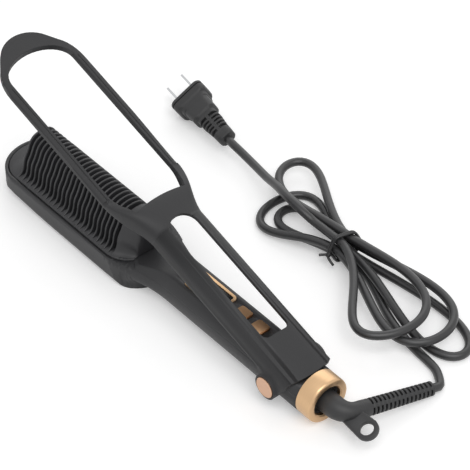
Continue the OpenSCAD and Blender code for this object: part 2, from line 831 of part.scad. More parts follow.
module brush_contacts() {
    color([0.85, 0.65, 0.35]) from_tail() for (i = [0, 1])
        translate([flange_x + flange_t + 0.5 + i * 2.4, -2, axis_z + swivel_r + 0.8 + 0.1])
        cube([1.4, 4, 2.4]);
}

module strain_relief() {
    color(charcoal) at_swivel() difference() {
        union() {
            rod_x(elbow[0] - 1, socket_x - seat, stub_r);
            hull() {
                translate([elbow[0], 0, 0]) sphere(r = stub_r, $fn = 32);
                translate([sleeve_root[0] - 1, sleeve_root[1] - 2, 0]) sphere(r = 5.6, $fn = 32);
            }
            hull() for (p = [[elbow[0] - 1, 0, 5.4], [tab_x, tab_y, tab_r]])
                translate([p[0], p[1], -tab_t / 2]) cylinder(r = p[2], h = tab_t, $fn = 32);
            sleeve();
        }
        rod_x(0, socket_x + 1, swivel_r);
        translate([tab_x, tab_y, -tab_t]) cylinder(r = hang_r, h = 2 * tab_t);
    }
}

// Ribbed sleeve: rings on a core, joined by a spine above and below
module sleeve() {
    pitch = (sleeve_len - sleeve_smooth) / rib_count;
    core_r = cord_d / 2 + 0.5;
    translate([sleeve_root[0], sleeve_root[1], 0]) rotate([0, 0, -90 - sleeve_lean]) {
        rod_x(0, sleeve_len, core_r);
        rod_x(0, sleeve_smooth, sleeve_root_r + 0.3);
        for (i = [1:rib_count]) let (r = mix(sleeve_root_r, sleeve_tip_r, i / rib_count))
            translate([sleeve_smooth + (i - 0.6) * pitch, 0, 0]) rod_x(0, pitch * 0.56, r);
        for (side = [-1, 1]) along_y(-1.1, 1.1) polygon([
            [0, 0], [0, side * (sleeve_root_r + 0.05)], [sleeve_len - 0.5, side * (sleeve_tip_r + 0.05)],
            [sleeve_len - 0.5, 0]]);
    }
}

// ---- Cord, hank and plug ----

lead_route = [[-85, -92, 3.7], [-95, -88, 3.1], [-106, -83.3, 2.9], [-118, -79.2, 2.8],
    [-130, -76.5, 2.8], [-142, -75, 2.8], [-151, -74.2, 2.8], [-158.5, -73, 2.8], [-164.5, -70, 3]];
tail_route = [[-20, -92.4, 20], [-10, -92.2, 22], [0, -94.2, 21], [12, -98, 17.4],
    [24, -101.4, 13.4], [40, -105, 11], [54, -106.7, 11]];

module cord_lead() {
    color(black) tube(concat([hank_out, hank_out - [cord_d, 0, 0]], lead_route,
        [sleeve_end + cord_d * sleeve_axis, sleeve_end]), cord_d / 2, cord_sides);
}

module cord_tail() {
    color(black) tube(concat([hank_in, hank_in + [cord_d, 0, 0]], tail_route,
        [plug_cord_end - cord_d * plug_axis, plug_cord_end]), cord_d / 2, cord_sides);
}

// Places of the seven passes through the tie, as Y and Z about the tie
hank_slots = [
    [3.8, 16.6], [-3.6, 16.6], [-6.4, 10.6], [6.2, 10.6], [-3.2, 4.6], [-0.1, 10.6], [3.2, 4.6]];
// Each lobe: reach, lean in degrees, half width, side that it starts on, and height at its tip
hank_lobes = [
    [-86, 23, 22, 1, 16.9], [82, -16, 13, 1, 9.8], [-95, 7, 19, -1, 10.4],
    [64, -1, 18, 1, 2.9], [-109, 3, 13, -1, 2.9], [54, 0, 10, -1, 2.9]];
lobe_rings = 12;
hank_half = 18;

// A lobe runs out and back with its strands together at the tie and apart further out
function hank_lobe(i, t) =
    let (a = hank_slots[i], b = hank_slots[i + 1], k = hank_lobes[i], s = sin(180 * t),
         out = k[0] * pow(s, 1.25), side = k[3] * 2.6 * k[2] * cos(180 * t) * s * s,
         lean = k[1] * sign(k[0]) * s, m = ease(t))
    [hank_mid[0] + out * cos(lean) - side * sin(lean),
     hank_mid[1] + mix(a[0], b[0], m) + out * sin(lean) + side * cos(lean),
     mix(mix(a[1], b[1], m), k[4], ease((s - 0.3) / 0.65))];

hank_in = [hank_mid[0] + hank_half, hank_mid[1] + hank_slots[0][0], hank_slots[0][1]];
hank_out = [hank_mid[0] - hank_half, hank_mid[1] + hank_slots[6][0], hank_slots[6][1]];
// A pass runs straight through the tie, from the side of one lobe to the side of the next
function hank_pass(i, from_side, to_side) = [for (side = [from_side, to_side])
    [hank_mid[0] + 3 * side, hank_mid[1] + hank_slots[i][0], hank_slots[i][1]]];
function lobe_side(i) = i < 0 ? 1 : i > 5 ? -1 : sign(hank_lobes[i][0]);
hank_path = concat(
    [hank_in, hank_in - [6, 0, 0]],
    [for (i = [0:5]) each concat(hank_pass(i, lobe_side(i - 1), lobe_side(i)),
        [for (j = [1:lobe_rings - 1]) hank_lobe(i, j / lobe_rings)])],
    hank_pass(6, lobe_side(5), lobe_side(6)),
    [hank_out + [6, 0, 0], hank_out]);

// Least space between strands of the hank, measured between points along its middle line that are
// further apart than three diameters along the cord
hank_steps = 4;
hank_points = [for (i = [0:len(hank_path) - 2], j = [0:hank_steps - 1])
    mix(hank_path[i], hank_path[i + 1], j / hank_steps)];
function running_length(p, i, sum, out) = i >= len(p) ? out :
    let (d = sum + norm(p[i] - p[i - 1])) running_length(p, i + 1, d, concat(out, [d]));
hank_lengths = running_length(hank_points, 1, 0, [0]);
hank_self_gap = min([for (i = [0:len(hank_points) - 1], j = [i + 1:1:len(hank_points) - 1])
    if (hank_lengths[j] - hank_lengths[i] > 3 * cord_d) norm(hank_points[j] - hank_points[i])]) - cord_d;
echo(hank_self_gap = hank_self_gap);

module cord_hank() { color(black) tube(hank_path, cord_d / 2, 6); }

module tie_outline(grow) {
    hull() for (s = hank_slots) translate([hank_mid[1] + s[0], s[1]])
        circle(r = cord_d / 2 + seat + grow, $fn = 32);
}

module hank_tie() {
    color(black) {
        along_x(hank_mid[0] - 1.6, hank_mid[0] + 1.6) difference() {
            tie_outline(1.5);
            tie_outline(0);
        }
    }
}

module at_plug() {
    translate(plug_face) rotate([0, 0, plug_yaw]) rotate([plug_roll, 0, 0]) children();
}
plug_axis = [cos(plug_yaw), sin(plug_yaw), 0];
plug_cord_end = plug_face - plug_len * plug_axis;

module plug_block(x0, x1, w0, w1, t0, t1, r) {
    hull() for (e = [[x0, w0, t0], [x1, w1, t1]]) translate([e[0], 0, 0]) rotate([90, 0, 90])
        linear_extrude(0.01) round_rect(e[1], e[2], r);
}

module plug_body() {
    color(charcoal) at_plug() difference() {
        union() {
            plug_block(-shoulder_x, 0, plug_w, plug_w, plug_t, plug_t, 4);
            plug_block(-relief_start, -shoulder_x, shoulder_w - 2, shoulder_w, plug_t - 3, plug_t - 2, 4);
            plug_block(-plug_len, -relief_start, relief_end_w, relief_w, 8.5, 11, 3);
        }
        for (side = [-1, 1]) translate([-7, side * blade_pitch / 2 - blade_t / 2 - running, -blade_w / 2 - running])
            cube([8, blade_t + 2 * running, blade_w + 2 * running]);
        for (face = [-1, 1]) translate([-3.4, 0, face * plug_t / 2])
            cube([0.8, plug_w - 5, 1.4], center = true);
        for (i = [0:4], side = [-1, 1], face = [-1, 1])
            translate([-relief_start - 4.5 - i * 3.2, side * (3.6 - i * 0.25), face * 5.6])
            cube([1.5, 4 - i * 0.3, 5], center = true);
    }
}

module plug_blades() {
    color(steel) at_plug() for (side = [-1, 1])
        translate([-6.9, side * blade_pitch / 2 - blade_t / 2, -blade_w / 2])
        cube([blade_len + 6.9, blade_t, blade_w]);
}

lower_shell();
upper_shell();
comb_tray();
fin_block();
heater_plate();
heater_bracket();
mica_sheet();
thermistor();
thermal_fuse();
control_board();
tact_switches();
display_module();
display_lens();
display_frame();
power_button();
temperature_button();
tail_ring();
swivel_socket();
brush_contacts();
hinge_axle();
return_spring();
clamp_arm();
pivot_caps();
housing_screws();
swivel_core();
slip_rings();
strain_relief();
cord_lead();
cord_hank();
cord_tail();
hank_tie();
plug_body();
plug_blades();
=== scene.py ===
"""Looks of the hot comb: finishes, housing, comb, arm, cord and studio, round the solids."""

import logging
import math
from collections.abc import Callable, Sequence
from dataclasses import dataclass, field
from enum import Enum
from typing import ClassVar

import bmesh
import bpy
from mathutils import Matrix, Vector


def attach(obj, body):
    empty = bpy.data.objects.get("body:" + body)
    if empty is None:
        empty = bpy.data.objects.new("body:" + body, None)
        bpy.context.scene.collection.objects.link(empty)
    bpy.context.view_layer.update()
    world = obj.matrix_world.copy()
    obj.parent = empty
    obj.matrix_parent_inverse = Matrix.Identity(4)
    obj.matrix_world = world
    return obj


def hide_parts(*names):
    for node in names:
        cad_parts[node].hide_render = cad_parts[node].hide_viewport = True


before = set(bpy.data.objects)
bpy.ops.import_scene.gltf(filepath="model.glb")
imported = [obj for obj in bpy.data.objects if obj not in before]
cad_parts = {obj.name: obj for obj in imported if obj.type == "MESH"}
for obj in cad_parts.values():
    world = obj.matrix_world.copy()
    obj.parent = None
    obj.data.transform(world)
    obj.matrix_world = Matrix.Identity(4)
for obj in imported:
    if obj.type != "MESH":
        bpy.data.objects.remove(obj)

log = logging.getLogger("hot_comb")

MM = 0.001
Point = tuple[float, float, float]
# Gap below which two points of a solid's mesh are one
JOIN = 0.002 * MM
Outline = list[tuple[float, float]]
Socket = bpy.types.NodeSocket


# ---- Small tools ----


def linear(hex_colour: str) -> tuple[float, float, float, float]:
    """Turns an sRGB hex colour to linear.

    Args:
        hex_colour: Six hex digits.

    Returns:
        Linear red, green, blue and an alpha of 1.
    """
    parts = [int(hex_colour[i : i + 2], 16) / 255 for i in (0, 2, 4)]
    red, green, blue = (c / 12.92 if c <= 0.04045 else ((c + 0.055) / 1.055) ** 2.4 for c in parts)
    return (red, green, blue, 1.0)


def add(tree: bpy.types.NodeTree, kind: str, links: dict | None = None, **settings) -> bpy.types.Node:
    """Adds a node with its settings and links.

    Args:
        tree: Tree that gets the node.
        kind: Type name of the node.
        links: Input name or index to an output socket, or to a value.
        settings: Attributes of the node.

    Returns:
        The node.
    """
    node = tree.nodes.new(kind)
    for name, value in settings.items():
        setattr(node, name, value)
    for name, value in (links or {}).items():
        if isinstance(value, bpy.types.NodeSocket):
            tree.links.new(value, node.inputs[name])
        else:
            node.inputs[name].default_value = value
    return node


def reckon(tree: bpy.types.NodeTree, operation: str, first: Socket | float, second: Socket) -> Socket:
    """Result of a math node on two values."""
    return add(tree, "ShaderNodeMath", {0: first, 1: second}, operation=operation).outputs[0]


def noise(tree: bpy.types.NodeTree, place: Socket, size: float, detail: float) -> Socket:
    """Noise whose grains have a size in millimetres."""
    links = {"Vector": place, "Scale": 1 / (size * MM), "Detail": detail}
    return add(tree, "ShaderNodeTexNoise", links).outputs["Fac"]


def bare_tree(owner: bpy.types.Material | bpy.types.World) -> bpy.types.NodeTree:
    """Node tree of a material or a world, emptied."""
    owner.use_nodes = True
    owner.node_tree.nodes.clear()
    return owner.node_tree


def placed(name: str, data: bpy.types.ID | None) -> bpy.types.Object:
    """New object in the scene, at the origin."""
    made = bpy.data.objects.new(name, data)
    bpy.context.scene.collection.objects.link(made)
    return made


def metres(x: float, y: float, z: float) -> Vector:
    """Point from millimetres."""
    return Vector((x, y, z)) * MM


def mix(a: float, b: float, t: float) -> float:
    """Value between a and b."""
    return a + (b - a) * t


def ease(t: float) -> float:
    """Smooth step from 0 to 1."""
    u = min(max(t, 0.0), 1.0)
    return u * u * (3 - 2 * u)


def arc(radius: float, low: float, high: float, steps: int) -> Outline:
    """Points of a circle about the origin from one angle to another, in radians."""
    turns = [mix(low, high, k / steps) for k in range(steps + 1)]
    return [(radius * math.cos(a), radius * math.sin(a)) for a in turns]


def circle(radius: float, sides: int) -> Outline:
    """Corners of a round outline about the origin, anticlockwise."""
    return arc(radius, 0.0, 2 * math.pi, sides)[:-1]


def rectangle(half: float, low: float, high: float) -> Outline:
    """Outline with four straight sides, anticlockwise."""
    return [(-half, low), (half, low), (half, high), (-half, high)]


def both_sides(flank: Outline) -> Outline:
    """Steps across a symmetric form: the flank's mirror image, then the flank from its top down."""
    return [(-x, depth) for x, depth in flank] + flank[::-1]


def smooth_line(points: Sequence[Vector], step: float) -> list[Vector]:
    """Even points along a smooth curve through the given ones.

    Args:
        points: Points that the curve passes.
        step: Distance between the points that come back.

    Returns:
        Points along the curve, the ends included.
    """
    pts = [Vector(p) for p in points]
    pts = [2 * pts[0] - pts[1], *pts, 2 * pts[-1] - pts[-2]]
    fine: list[Vector] = []
    for a, b, c, d in zip(pts, pts[1:], pts[2:], pts[3:]):
        t1 = max((b - a).length ** 0.5, 1e-6)
        t2 = t1 + max((c - b).length ** 0.5, 1e-6)
        t3 = t2 + max((d - c).length ** 0.5, 1e-6)
        for k in range(12):
            t = mix(t1, t2, k / 12)
            p = a * (t1 - t) / t1 + b * t / t1
            q = b * (t2 - t) / (t2 - t1) + c * (t - t1) / (t2 - t1)
            r = c * (t3 - t) / (t3 - t2) + d * (t - t2) / (t3 - t2)
            s = p * (t2 - t) / t2 + q * t / t2
            u = q * (t3 - t) / (t3 - t1) + r * (t - t1) / (t3 - t1)
            fine.append(s * (t2 - t) / (t2 - t1) + u * (t - t1) / (t2 - t1))
    fine.append(pts[-2].copy())
    lengths = [0.0]
    for a, b in zip(fine, fine[1:]):
        lengths.append(lengths[-1] + (b - a).length)
    count = max(2, round(lengths[-1] / step))
    out, i = [], 0
    for k in range(count + 1):
        want = lengths[-1] * k / count
        while i < len(lengths) - 2 and lengths[i + 1] < want:
            i += 1
        span = max(lengths[i + 1] - lengths[i], 1e-9)
        out.append(fine[i].lerp(fine[i + 1], (want - lengths[i]) / span))
    return out


def line_length(points: Sequence[Vector]) -> float:
    """Length along the points."""
    return sum((b - a).length for a, b in zip(points, points[1:]))


def sweep(
    name: str, path: Sequence[Vector], radius: float | Callable[[float], float], sides: int
) -> bpy.types.Object:
    """Makes a closed round tube along a path, with a UV map in metres along and round it.

    Args:
        name: Name of the piece.
        path: Points of the middle line.
        radius: Radius, or a function of the share of the way along.
        sides: Number of sides.

    Returns:
        The tube.
    """
    mesh = bmesh.new()
    uv = mesh.loops.layers.uv.new("along")
    normal, rings, run = None, [], [0.0]
    for i, point in enumerate(path):
        tangent = (path[min(i + 1, len(path) - 1)] - path[max(i - 1, 0)]).normalized()
        if normal is None:
            normal = tangent.cross(Vector((0, 0, 1)))
            if normal.length < 0.1:
                normal = tangent.cross(Vector((1, 0, 0)))
        normal = (normal - tangent * normal.dot(tangent)).normalized()
        side = tangent.cross(normal)
        r = radius(i / (len(path) - 1)) if callable(radius) else radius
        rings.append([mesh.verts.new(point + a * normal + b * side) for a, b in circle(r, sides)])
        if i:
            run.append(run[-1] + (point - path[i - 1]).length)
    girth = 2 * math.pi * (radius(0.5) if callable(radius) else radius)
    for i in range(len(rings) - 1):
        for k in range(sides):
            n = (k + 1) % sides
            face = mesh.faces.new([rings[i][k], rings[i][n], rings[i + 1][n], rings[i + 1][k]])
            face.smooth = True
            corners = [(i, k), (i, k + 1), (i + 1, k + 1), (i + 1, k)]
            for loop, (row, column) in zip(face.loops, corners):
                loop[uv].uv = (run[row], girth * column / sides)
    mesh.faces.new(reversed(rings[0]))
    mesh.faces.new(rings[-1])
    return from_bmesh(name, mesh)


def from_bmesh(name: str, mesh: bmesh.types.BMesh) -> bpy.types.Object:
    """Makes an object of the mesh, with its faces turned outwards.

    Args:
        name: Name of the piece.
        mesh: Mesh, which is freed.

    Returns:
        The object, at the origin.
    """
    bmesh.ops.recalc_face_normals(mesh, faces=mesh.faces[:])
    data = bpy.data.meshes.new(name)
    mesh.to_mesh(data)
    mesh.free()
    return placed(name, data)


# ---- Finishes ----


class Grain(Enum):
    """Surface that a mould leaves, as grain size in millimetres and its height."""

    SATIN = (0.9, 0.10)
    FINE = (0.6, 0.06)
    POLISHED = (3.0, 0.01)


@dataclass(frozen=True)
class Spread:
    """How far a pattern moves a finish.

    The colour goes from dark to light times itself, and the roughness from smooth below its own
    value to rough above it. Relief is the strength of the bump.
    """

    dark: float
    light: float
    smooth: float
    rough: float
    relief: float


@dataclass(frozen=True)
class Finish:
    """What every finish has: a name, a colour, a roughness and a material that is made once."""

    name: str
    colour: str
    roughness: float = 0.5

    spread: ClassVar[Spread]

    def material(self) -> bpy.types.Material:
        """Returns the finish's material, and makes it the first time."""
        found = bpy.data.materials.get(self.name)
        if found:
            return found
        made = bpy.data.materials.new(self.name)
        self.paint(bare_tree(made))
        return made

    def paint(self, tree: bpy.types.NodeTree) -> None:
        """Fills the material's node tree."""
        raise NotImplementedError

    def shade(
        self,
        tree: bpy.types.NodeTree,
        pattern: Socket,
        height: Socket,
        depth: float,
        constants: dict[str, float],
        under: Socket | None = None,
    ) -> None:
        """Adds the tint, the uneven sheen, the relief and the shader.

        Args:
            tree: The material's tree.
            pattern: Pattern that moves the colour and the sheen.
            height: Pattern of the relief.
            depth: Depth of the relief in millimetres.
            constants: The shader's own values.
            under: Normal that the relief lies on, if not the surface's own.
        """
        spread = self.spread
        rough = add(
            tree,
            "ShaderNodeMapRange",
            {
                "Value": pattern,
                "To Min": self.roughness - spread.smooth,
                "To Max": self.roughness + spread.rough,
            },
        )
        dark, light = (
            (*(min(c * share, 1.0) for c in linear(self.colour)[:3]), 1.0)
            for share in (spread.dark, spread.light)
        )
        tint = add(tree, "ShaderNodeMix", {"Factor": pattern, 6: dark, 7: light}, data_type="RGBA")
        relief = {"Height": height, "Strength": spread.relief, "Distance": depth * MM}
        if under is not None:
            relief["Normal"] = under
        bump = add(tree, "ShaderNodeBump", relief)
        shader = add(
            tree,
            "ShaderNodeBsdfPrincipled",
            {
                "Base Color": tint.outputs[2],
                "Roughness": rough.outputs["Result"],
                "Normal": bump.outputs["Normal"],
                **constants,
            },
        )
        add(tree, "ShaderNodeOutputMaterial", {"Surface": shader.outputs["BSDF"]})


@dataclass(frozen=True)
class Moulded(Finish):
    """Injection-moulded plastic: one colour, a faint grain from the tool and soft clouds of sheen.

    Its edges catch the light as if they were rounded by the size in edge, in millimetres.
    """

    grain: Grain = Grain.SATIN
    ior: float = 1.5
    edge: float = 0.5
    clouds: float = 24.0

    spread: ClassVar[Spread] = Spread(0.92, 1.08, 0.04, 0.05, 0.6)

    def paint(self, tree: bpy.types.NodeTree) -> None:
        """Fills the tree with the rounded edges, the grain, the clouds and the shader."""
        size, depth = self.grain.value
        edges = add(tree, "ShaderNodeBevel", {"Radius": self.edge * MM}, samples=6).outputs["Normal"]
        place = add(tree, "ShaderNodeTexCoord").outputs["Object"]
        clouds, grain = noise(tree, place, self.clouds, 2.0), noise(tree, place, size, 3.0)
        self.shade(tree, clouds, grain, depth, {"IOR": self.ior}, edges)


@dataclass(frozen=True)
class SatinMetal(Finish):
    """Brushed metal under a clear or tinted coat: fine lines along one axis and an even sheen."""

    roughness: float = 0.3
    line: float = 0.5
    stretch: tuple[float, float, float] = (1.0, 0.06, 0.06)
    depth: float = 0.05

    spread: ClassVar[Spread] = Spread(0.9, 1.06, 0.06, 0.08, 0.25)

    def paint(self, tree: bpy.types.NodeTree) -> None:
        """Fills the tree with the brushed lines and the shader."""
        place = add(tree, "ShaderNodeTexCoord").outputs["Object"]
        along = add(tree, "ShaderNodeMapping", {"Vector": place, "Scale": self.stretch})
        lines = noise(tree, along.outputs["Vector"], self.line, 4.0)
        self.shade(tree, lines, lines, self.depth, {"Metallic": 1.0})


@dataclass(frozen=True)
class ExtrudedJacket(Finish):
    """Extruded PVC jacket: glossier than a moulding, with fine drawn lines along the cord."""

    roughness: float = 0.34
    line: float = 0.8
    draw_out: float = 60.0
    depth: float = 0.12
    ior: float = 1.53

    spread: ClassVar[Spread] = Spread(0.8, 1.25, 0.08, 0.1, 0.5)

    def paint(self, tree: bpy.types.NodeTree) -> None:
        """Fills the tree with the drawn lines, which follow the cord's own UV map, and the shader."""
        place = add(tree, "ShaderNodeUVMap", uv_map="along").outputs["UV"]
        scale = (1 / self.draw_out, 1.0, 1.0)
        drawn = add(tree, "ShaderNodeMapping", {"Vector": place, "Scale": scale})
        lines = noise(tree, drawn.outputs["Vector"], self.line, 2.0)
        self.shade(tree, lines, lines, self.depth, {"IOR": self.ior})


class Finishes:
    """Every finish of the hot comb, from what the real one is made of."""

    # ABS, moulded with a satin grain: charcoal, with soft broad highlights
    SHELL = Moulded("charcoal_abs", "242426", 0.52)
    ARM = Moulded("charcoal_abs_arm", "1A1A1C", 0.55)
    TRAY = Moulded("grey_abs_tray", "323234", 0.48)
    # Aluminium under a baked non-stick coat: darker, with a fine satin
    FINS = Moulded("coated_fins", "2C2C2E", 0.42, Grain.FINE, edge=0.25)
    # Rose-gold paint on plated ABS
    GOLD = SatinMetal("rose_gold_plate", "D2AF88", 0.32)
    CAP = SatinMetal("rose_gold_cap", "D3AC91", 0.34, 0.6, (1.0, 0.06, 1.0))
    BUTTON = SatinMetal("rose_gold_button", "CBA27C", 0.34, 0.4, (0.06, 1.0, 0.06))
    # Smoked acrylic, polished
    WINDOW = Moulded("smoked_acrylic", "0B0B0C", 0.12, Grain.POLISHED, 1.49)
    PLAIN_BLACK = Moulded("black_nylon", "1A1A1B", 0.5, Grain.FINE)
    # Soft PVC of the plug and the sleeve: a little waxy
    SOFT_PVC = Moulded("soft_pvc", "29292A", 0.5, Grain.FINE, edge=0.35)
    CORD_PVC = ExtrudedJacket("cord_pvc", "2B2B2C")
    TIE_PVC = Moulded("tie_pvc", "202021", 0.4, Grain.FINE, edge=0.15)
    STEEL = SatinMetal("bright_steel", "B9BBBE", 0.28)
    BLADE = SatinMetal("nickel_blade", "C9CACC", 0.22)
    BRASS = SatinMetal("bare_brass", "C9A25C", 0.3)
    CERAMIC = Moulded("white_alumina", "DEDBD2", 0.6, Grain.FINE)
    MICA = Moulded("brown_mica", "8F7B57", 0.5, Grain.FINE)
    BOARD = Moulded("green_laminate", "1B5A35", 0.4, Grain.FINE)


def dress(piece: bpy.types.Object, finish: Finish) -> None:
    """Gives every slot of the piece one finish."""
    material = finish.material()
    if not piece.data.materials:
        piece.data.materials.append(material)
    for i in range(len(piece.data.materials)):
        piece.data.materials[i] = material


# ---- Geometry Nodes ----


@dataclass
class Row:
    """Geometry Nodes tree that repeats one part along X and joins the row to its carrier.

    Sizes are in metres. The parts shrink evenly across X by the share in shrink.
    """

    name: str
    count: int
    pitch: float
    first: float
    shrink: float = 0.0

    def tree(self, unit: bpy.types.Object, finish: Finish) -> bpy.types.NodeTree:
        """Makes the tree.

        Args:
            unit: Object whose mesh is repeated.
            finish: Finish of the whole piece.

        Returns:
            The tree, with an input for each size.
        """
        tree = bpy.data.node_groups.new(self.name, "GeometryNodeTree")
        face = tree.interface
        face.new_socket("Geometry", in_out="INPUT", socket_type="NodeSocketGeometry")
        face.new_socket("Count", in_out="INPUT", socket_type="NodeSocketInt")
        for size in ("Pitch", "First", "Shrink"):
            face.new_socket(size, in_out="INPUT", socket_type="NodeSocketFloat")
        face.new_socket("Geometry", in_out="OUTPUT", socket_type="NodeSocketGeometry")
        given = add(tree, "NodeGroupInput").outputs
        start = add(tree, "ShaderNodeCombineXYZ", {"X": given["First"]})
        step = add(tree, "ShaderNodeCombineXYZ", {"X": given["Pitch"]})
        line = add(
            tree,
            "GeometryNodeMeshLine",
            {"Count": given["Count"], "Start Location": start.outputs[0], "Offset": step.outputs[0]},
            mode="OFFSET",
        )
        index = add(tree, "GeometryNodeInputIndex").outputs[0]
        loss = reckon(tree, "MULTIPLY", reckon(tree, "DIVIDE", index, given["Count"]), given["Shrink"])
        scale = reckon(tree, "SUBTRACT", 1.0, loss)
        size = add(tree, "ShaderNodeCombineXYZ", {"X": 1.0, "Y": scale, "Z": scale})
        part = add(tree, "GeometryNodeObjectInfo", {"Object": unit})
        row = add(
            tree,
            "GeometryNodeInstanceOnPoints",
            {
                "Points": line.outputs["Mesh"],
                "Instance": part.outputs["Geometry"],
                "Scale": size.outputs[0],
            },
        )
        whole = add(tree, "GeometryNodeJoinGeometry", {0: given["Geometry"]})
        tree.links.new(row.outputs["Instances"], whole.inputs[0])
        real = add(tree, "GeometryNodeRealizeInstances", {"Geometry": whole.outputs[0]}).outputs[0]
        paint = add(tree, "GeometryNodeSetMaterial", {"Geometry": real, "Material": finish.material()})
        add(tree, "NodeGroupOutput", {"Geometry": paint.outputs[0]})
        return tree

    def grow(
        self, carrier: bmesh.types.BMesh, unit: bmesh.types.BMesh, finish: Finish
    ) -> bpy.types.Object:
        """Makes the piece.

        Args:
            carrier: Mesh that the row stands on, which is freed.
            unit: Mesh that is repeated, about X = 0, which is freed.
            finish: Finish of the whole piece.

        Returns:
            The piece, as a plain mesh.
        """
        host = from_bmesh(self.name + "_carrier", carrier)
        part = from_bmesh(self.name + "_unit", unit)
        tree = self.tree(part, finish)
        modifier = host.modifiers.new("row", "NODES")
        modifier.node_group = tree
        sizes = {"Count": self.count, "Pitch": self.pitch, "First": self.first, "Shrink": self.shrink}
        for socket in tree.interface.items_tree:
            if socket.in_out == "INPUT" and socket.name in sizes:
                modifier[socket.identifier] = sizes[socket.name]
        graph = bpy.context.evaluated_depsgraph_get()
        data = bpy.data.meshes.new_from_object(host.evaluated_get(graph))
        host.modifiers.remove(modifier)
        for spare in (host, part):
            bpy.data.objects.remove(spare)
        data.name = self.name
        return placed(self.name, data)


def soft_shading_tree(angle: float) -> bpy.types.NodeTree:
    """Makes the tree that joins a solid's loose triangles and shades its curved faces smooth.

    Args:
        angle: Angle in degrees past which an edge stays sharp.

    Returns:
        The tree.
    """
    tree = bpy.data.node_groups.new("soft_shading", "GeometryNodeTree")
    tree.interface.new_socket("Geometry", in_out="INPUT", socket_type="NodeSocketGeometry")
    tree.interface.new_socket("Geometry", in_out="OUTPUT", socket_type="NodeSocketGeometry")
    given = add(tree, "NodeGroupInput").outputs[0]
    joined = add(tree, "GeometryNodeMergeByDistance", {"Geometry": given, "Distance": JOIN})
    bend = add(tree, "GeometryNodeInputMeshEdgeAngle").outputs["Unsigned Angle"]
    sharp = add(
        tree,
        "FunctionNodeCompare",
        {0: bend, 1: math.radians(angle)},
        data_type="FLOAT",
        operation="GREATER_THAN",
    )
    soft = {"Geometry": joined.outputs[0], "Shade Smooth": True}
    faces = add(tree, "GeometryNodeSetShadeSmooth", soft, domain="FACE")
    hard = {"Geometry": faces.outputs[0], "Selection": sharp.outputs[0], "Shade Smooth": False}
    edges = add(tree, "GeometryNodeSetShadeSmooth", hard, domain="EDGE")
    add(tree, "NodeGroupOutput", {"Geometry": edges.outputs[0]})
    return tree


# ---- Sub-assemblies ----


@dataclass
class SubAssembly:
    """Pieces that belong together: their finishes by node, and the body that they ride on."""

    finishes: ClassVar[dict[str, Finish]] = {}
    sharp_angle: ClassVar[float] = 32.0

    def dress_nodes(self) -> None:
        """Gives each solid that stays its finish and soft shading."""
        tree = bpy.data.node_groups.get("soft_shading") or soft_shading_tree(self.sharp_angle)
        for name, finish in self.finishes.items():
            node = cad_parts[name]
            dress(node, finish)
            node.modifiers.new("soft_shading", "NODES").node_group = tree
            log.info("%s: %s", name, finish.name)

    def add_piece(
        self, piece: bpy.types.Object, finish: Finish, body: str, *nodes: str
    ) -> bpy.types.Object:
        """Dresses a made piece, sets it on its body and lets it stand for its nodes.

        Args:
            piece: The piece.
            finish: Its finish.
            body: Body that it rides on.
            nodes: Nodes that it replaces.

        Returns:
            The piece.
        """
        dress(piece, finish)
        for face in piece.data.polygons:
            face.use_smooth = True
        piece.data.set_sharp_from_angle(angle=math.radians(self.sharp_angle))
        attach(piece, body)
        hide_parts(*nodes)
        log.info("%s: %d faces, %s", piece.name, len(piece.data.polygons), finish.name)
        return piece


def node_copy(name: str) -> bmesh.types.BMesh:
    """Copy of a solid's mesh with its loose triangles joined."""
    mesh = bmesh.new()
    mesh.from_mesh(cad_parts[name].data)
    bmesh.ops.remove_doubles(mesh, verts=mesh.verts[:], dist=JOIN)
    return mesh


def slice_up(mesh: bmesh.types.BMesh, axis: int, low: float, high: float, step: float) -> None:
    """Cuts faces at even planes, so that the mesh can bend between them.

    Args:
        mesh: Mesh that is cut.
        axis: 0, 1 or 2.
        low: First plane.
        high: Last plane.
        step: Distance between planes.
    """
    normal = Vector([float(i == axis) for i in range(3)])
    for k in range(round((high - low) / step) + 1):
        bmesh.ops.bisect_plane(
            mesh,
            geom=mesh.verts[:] + mesh.edges[:] + mesh.faces[:],
            dist=1e-7,
            plane_co=normal * (low + k * step),
            plane_no=normal,
        )


def bridge(mesh: bmesh.types.BMesh, rows: Sequence[Sequence[bmesh.types.BMVert]]) -> None:
    """Adds the faces between rings of equal counts that the mesh has already."""
    for a, b in zip(rows, rows[1:]):
        for k in range(len(a)):
            n = (k + 1) % len(a)
            mesh.faces.new([a[k], a[n], b[n], b[k]])


def loft(mesh: bmesh.types.BMesh, rings: Sequence[Sequence[Vector]]) -> None:
    """Adds a closed skin over rings of equal counts, with both ends filled.

    Args:
        mesh: Mesh that gets the faces.
        rings: Rings in order.
    """
    rows = [[mesh.verts.new(p) for p in ring] for ring in rings]
    bridge(mesh, rows)
    mesh.faces.new(list(reversed(rows[0])))
    mesh.faces.new(rows[-1])


def loft_across(mesh: bmesh.types.BMesh, rings: Sequence[tuple[float, Outline]]) -> None:
    """Lofts rings that stand across X, each given as X and its outline in Y and Z, in millimetres."""
    loft(mesh, [[metres(x, y, z) for y, z in ring] for x, ring in rings])


def inset(outline: Outline, depth: float) -> Outline:
    """Outline moved inwards.

    Args:
        outline: Points in order, anticlockwise.
        depth: Distance.

    Returns:
        The moved points.
    """
    moved = []
    for i, (x, y) in enumerate(outline):
        (ax, ay), (bx, by) = outline[i - 1], outline[(i + 1) % len(outline)]
        length = math.hypot(bx - ax, by - ay) or 1.0
        moved.append((x - depth * (by - ay) / length, y + depth * (bx - ax) / length))
    return moved


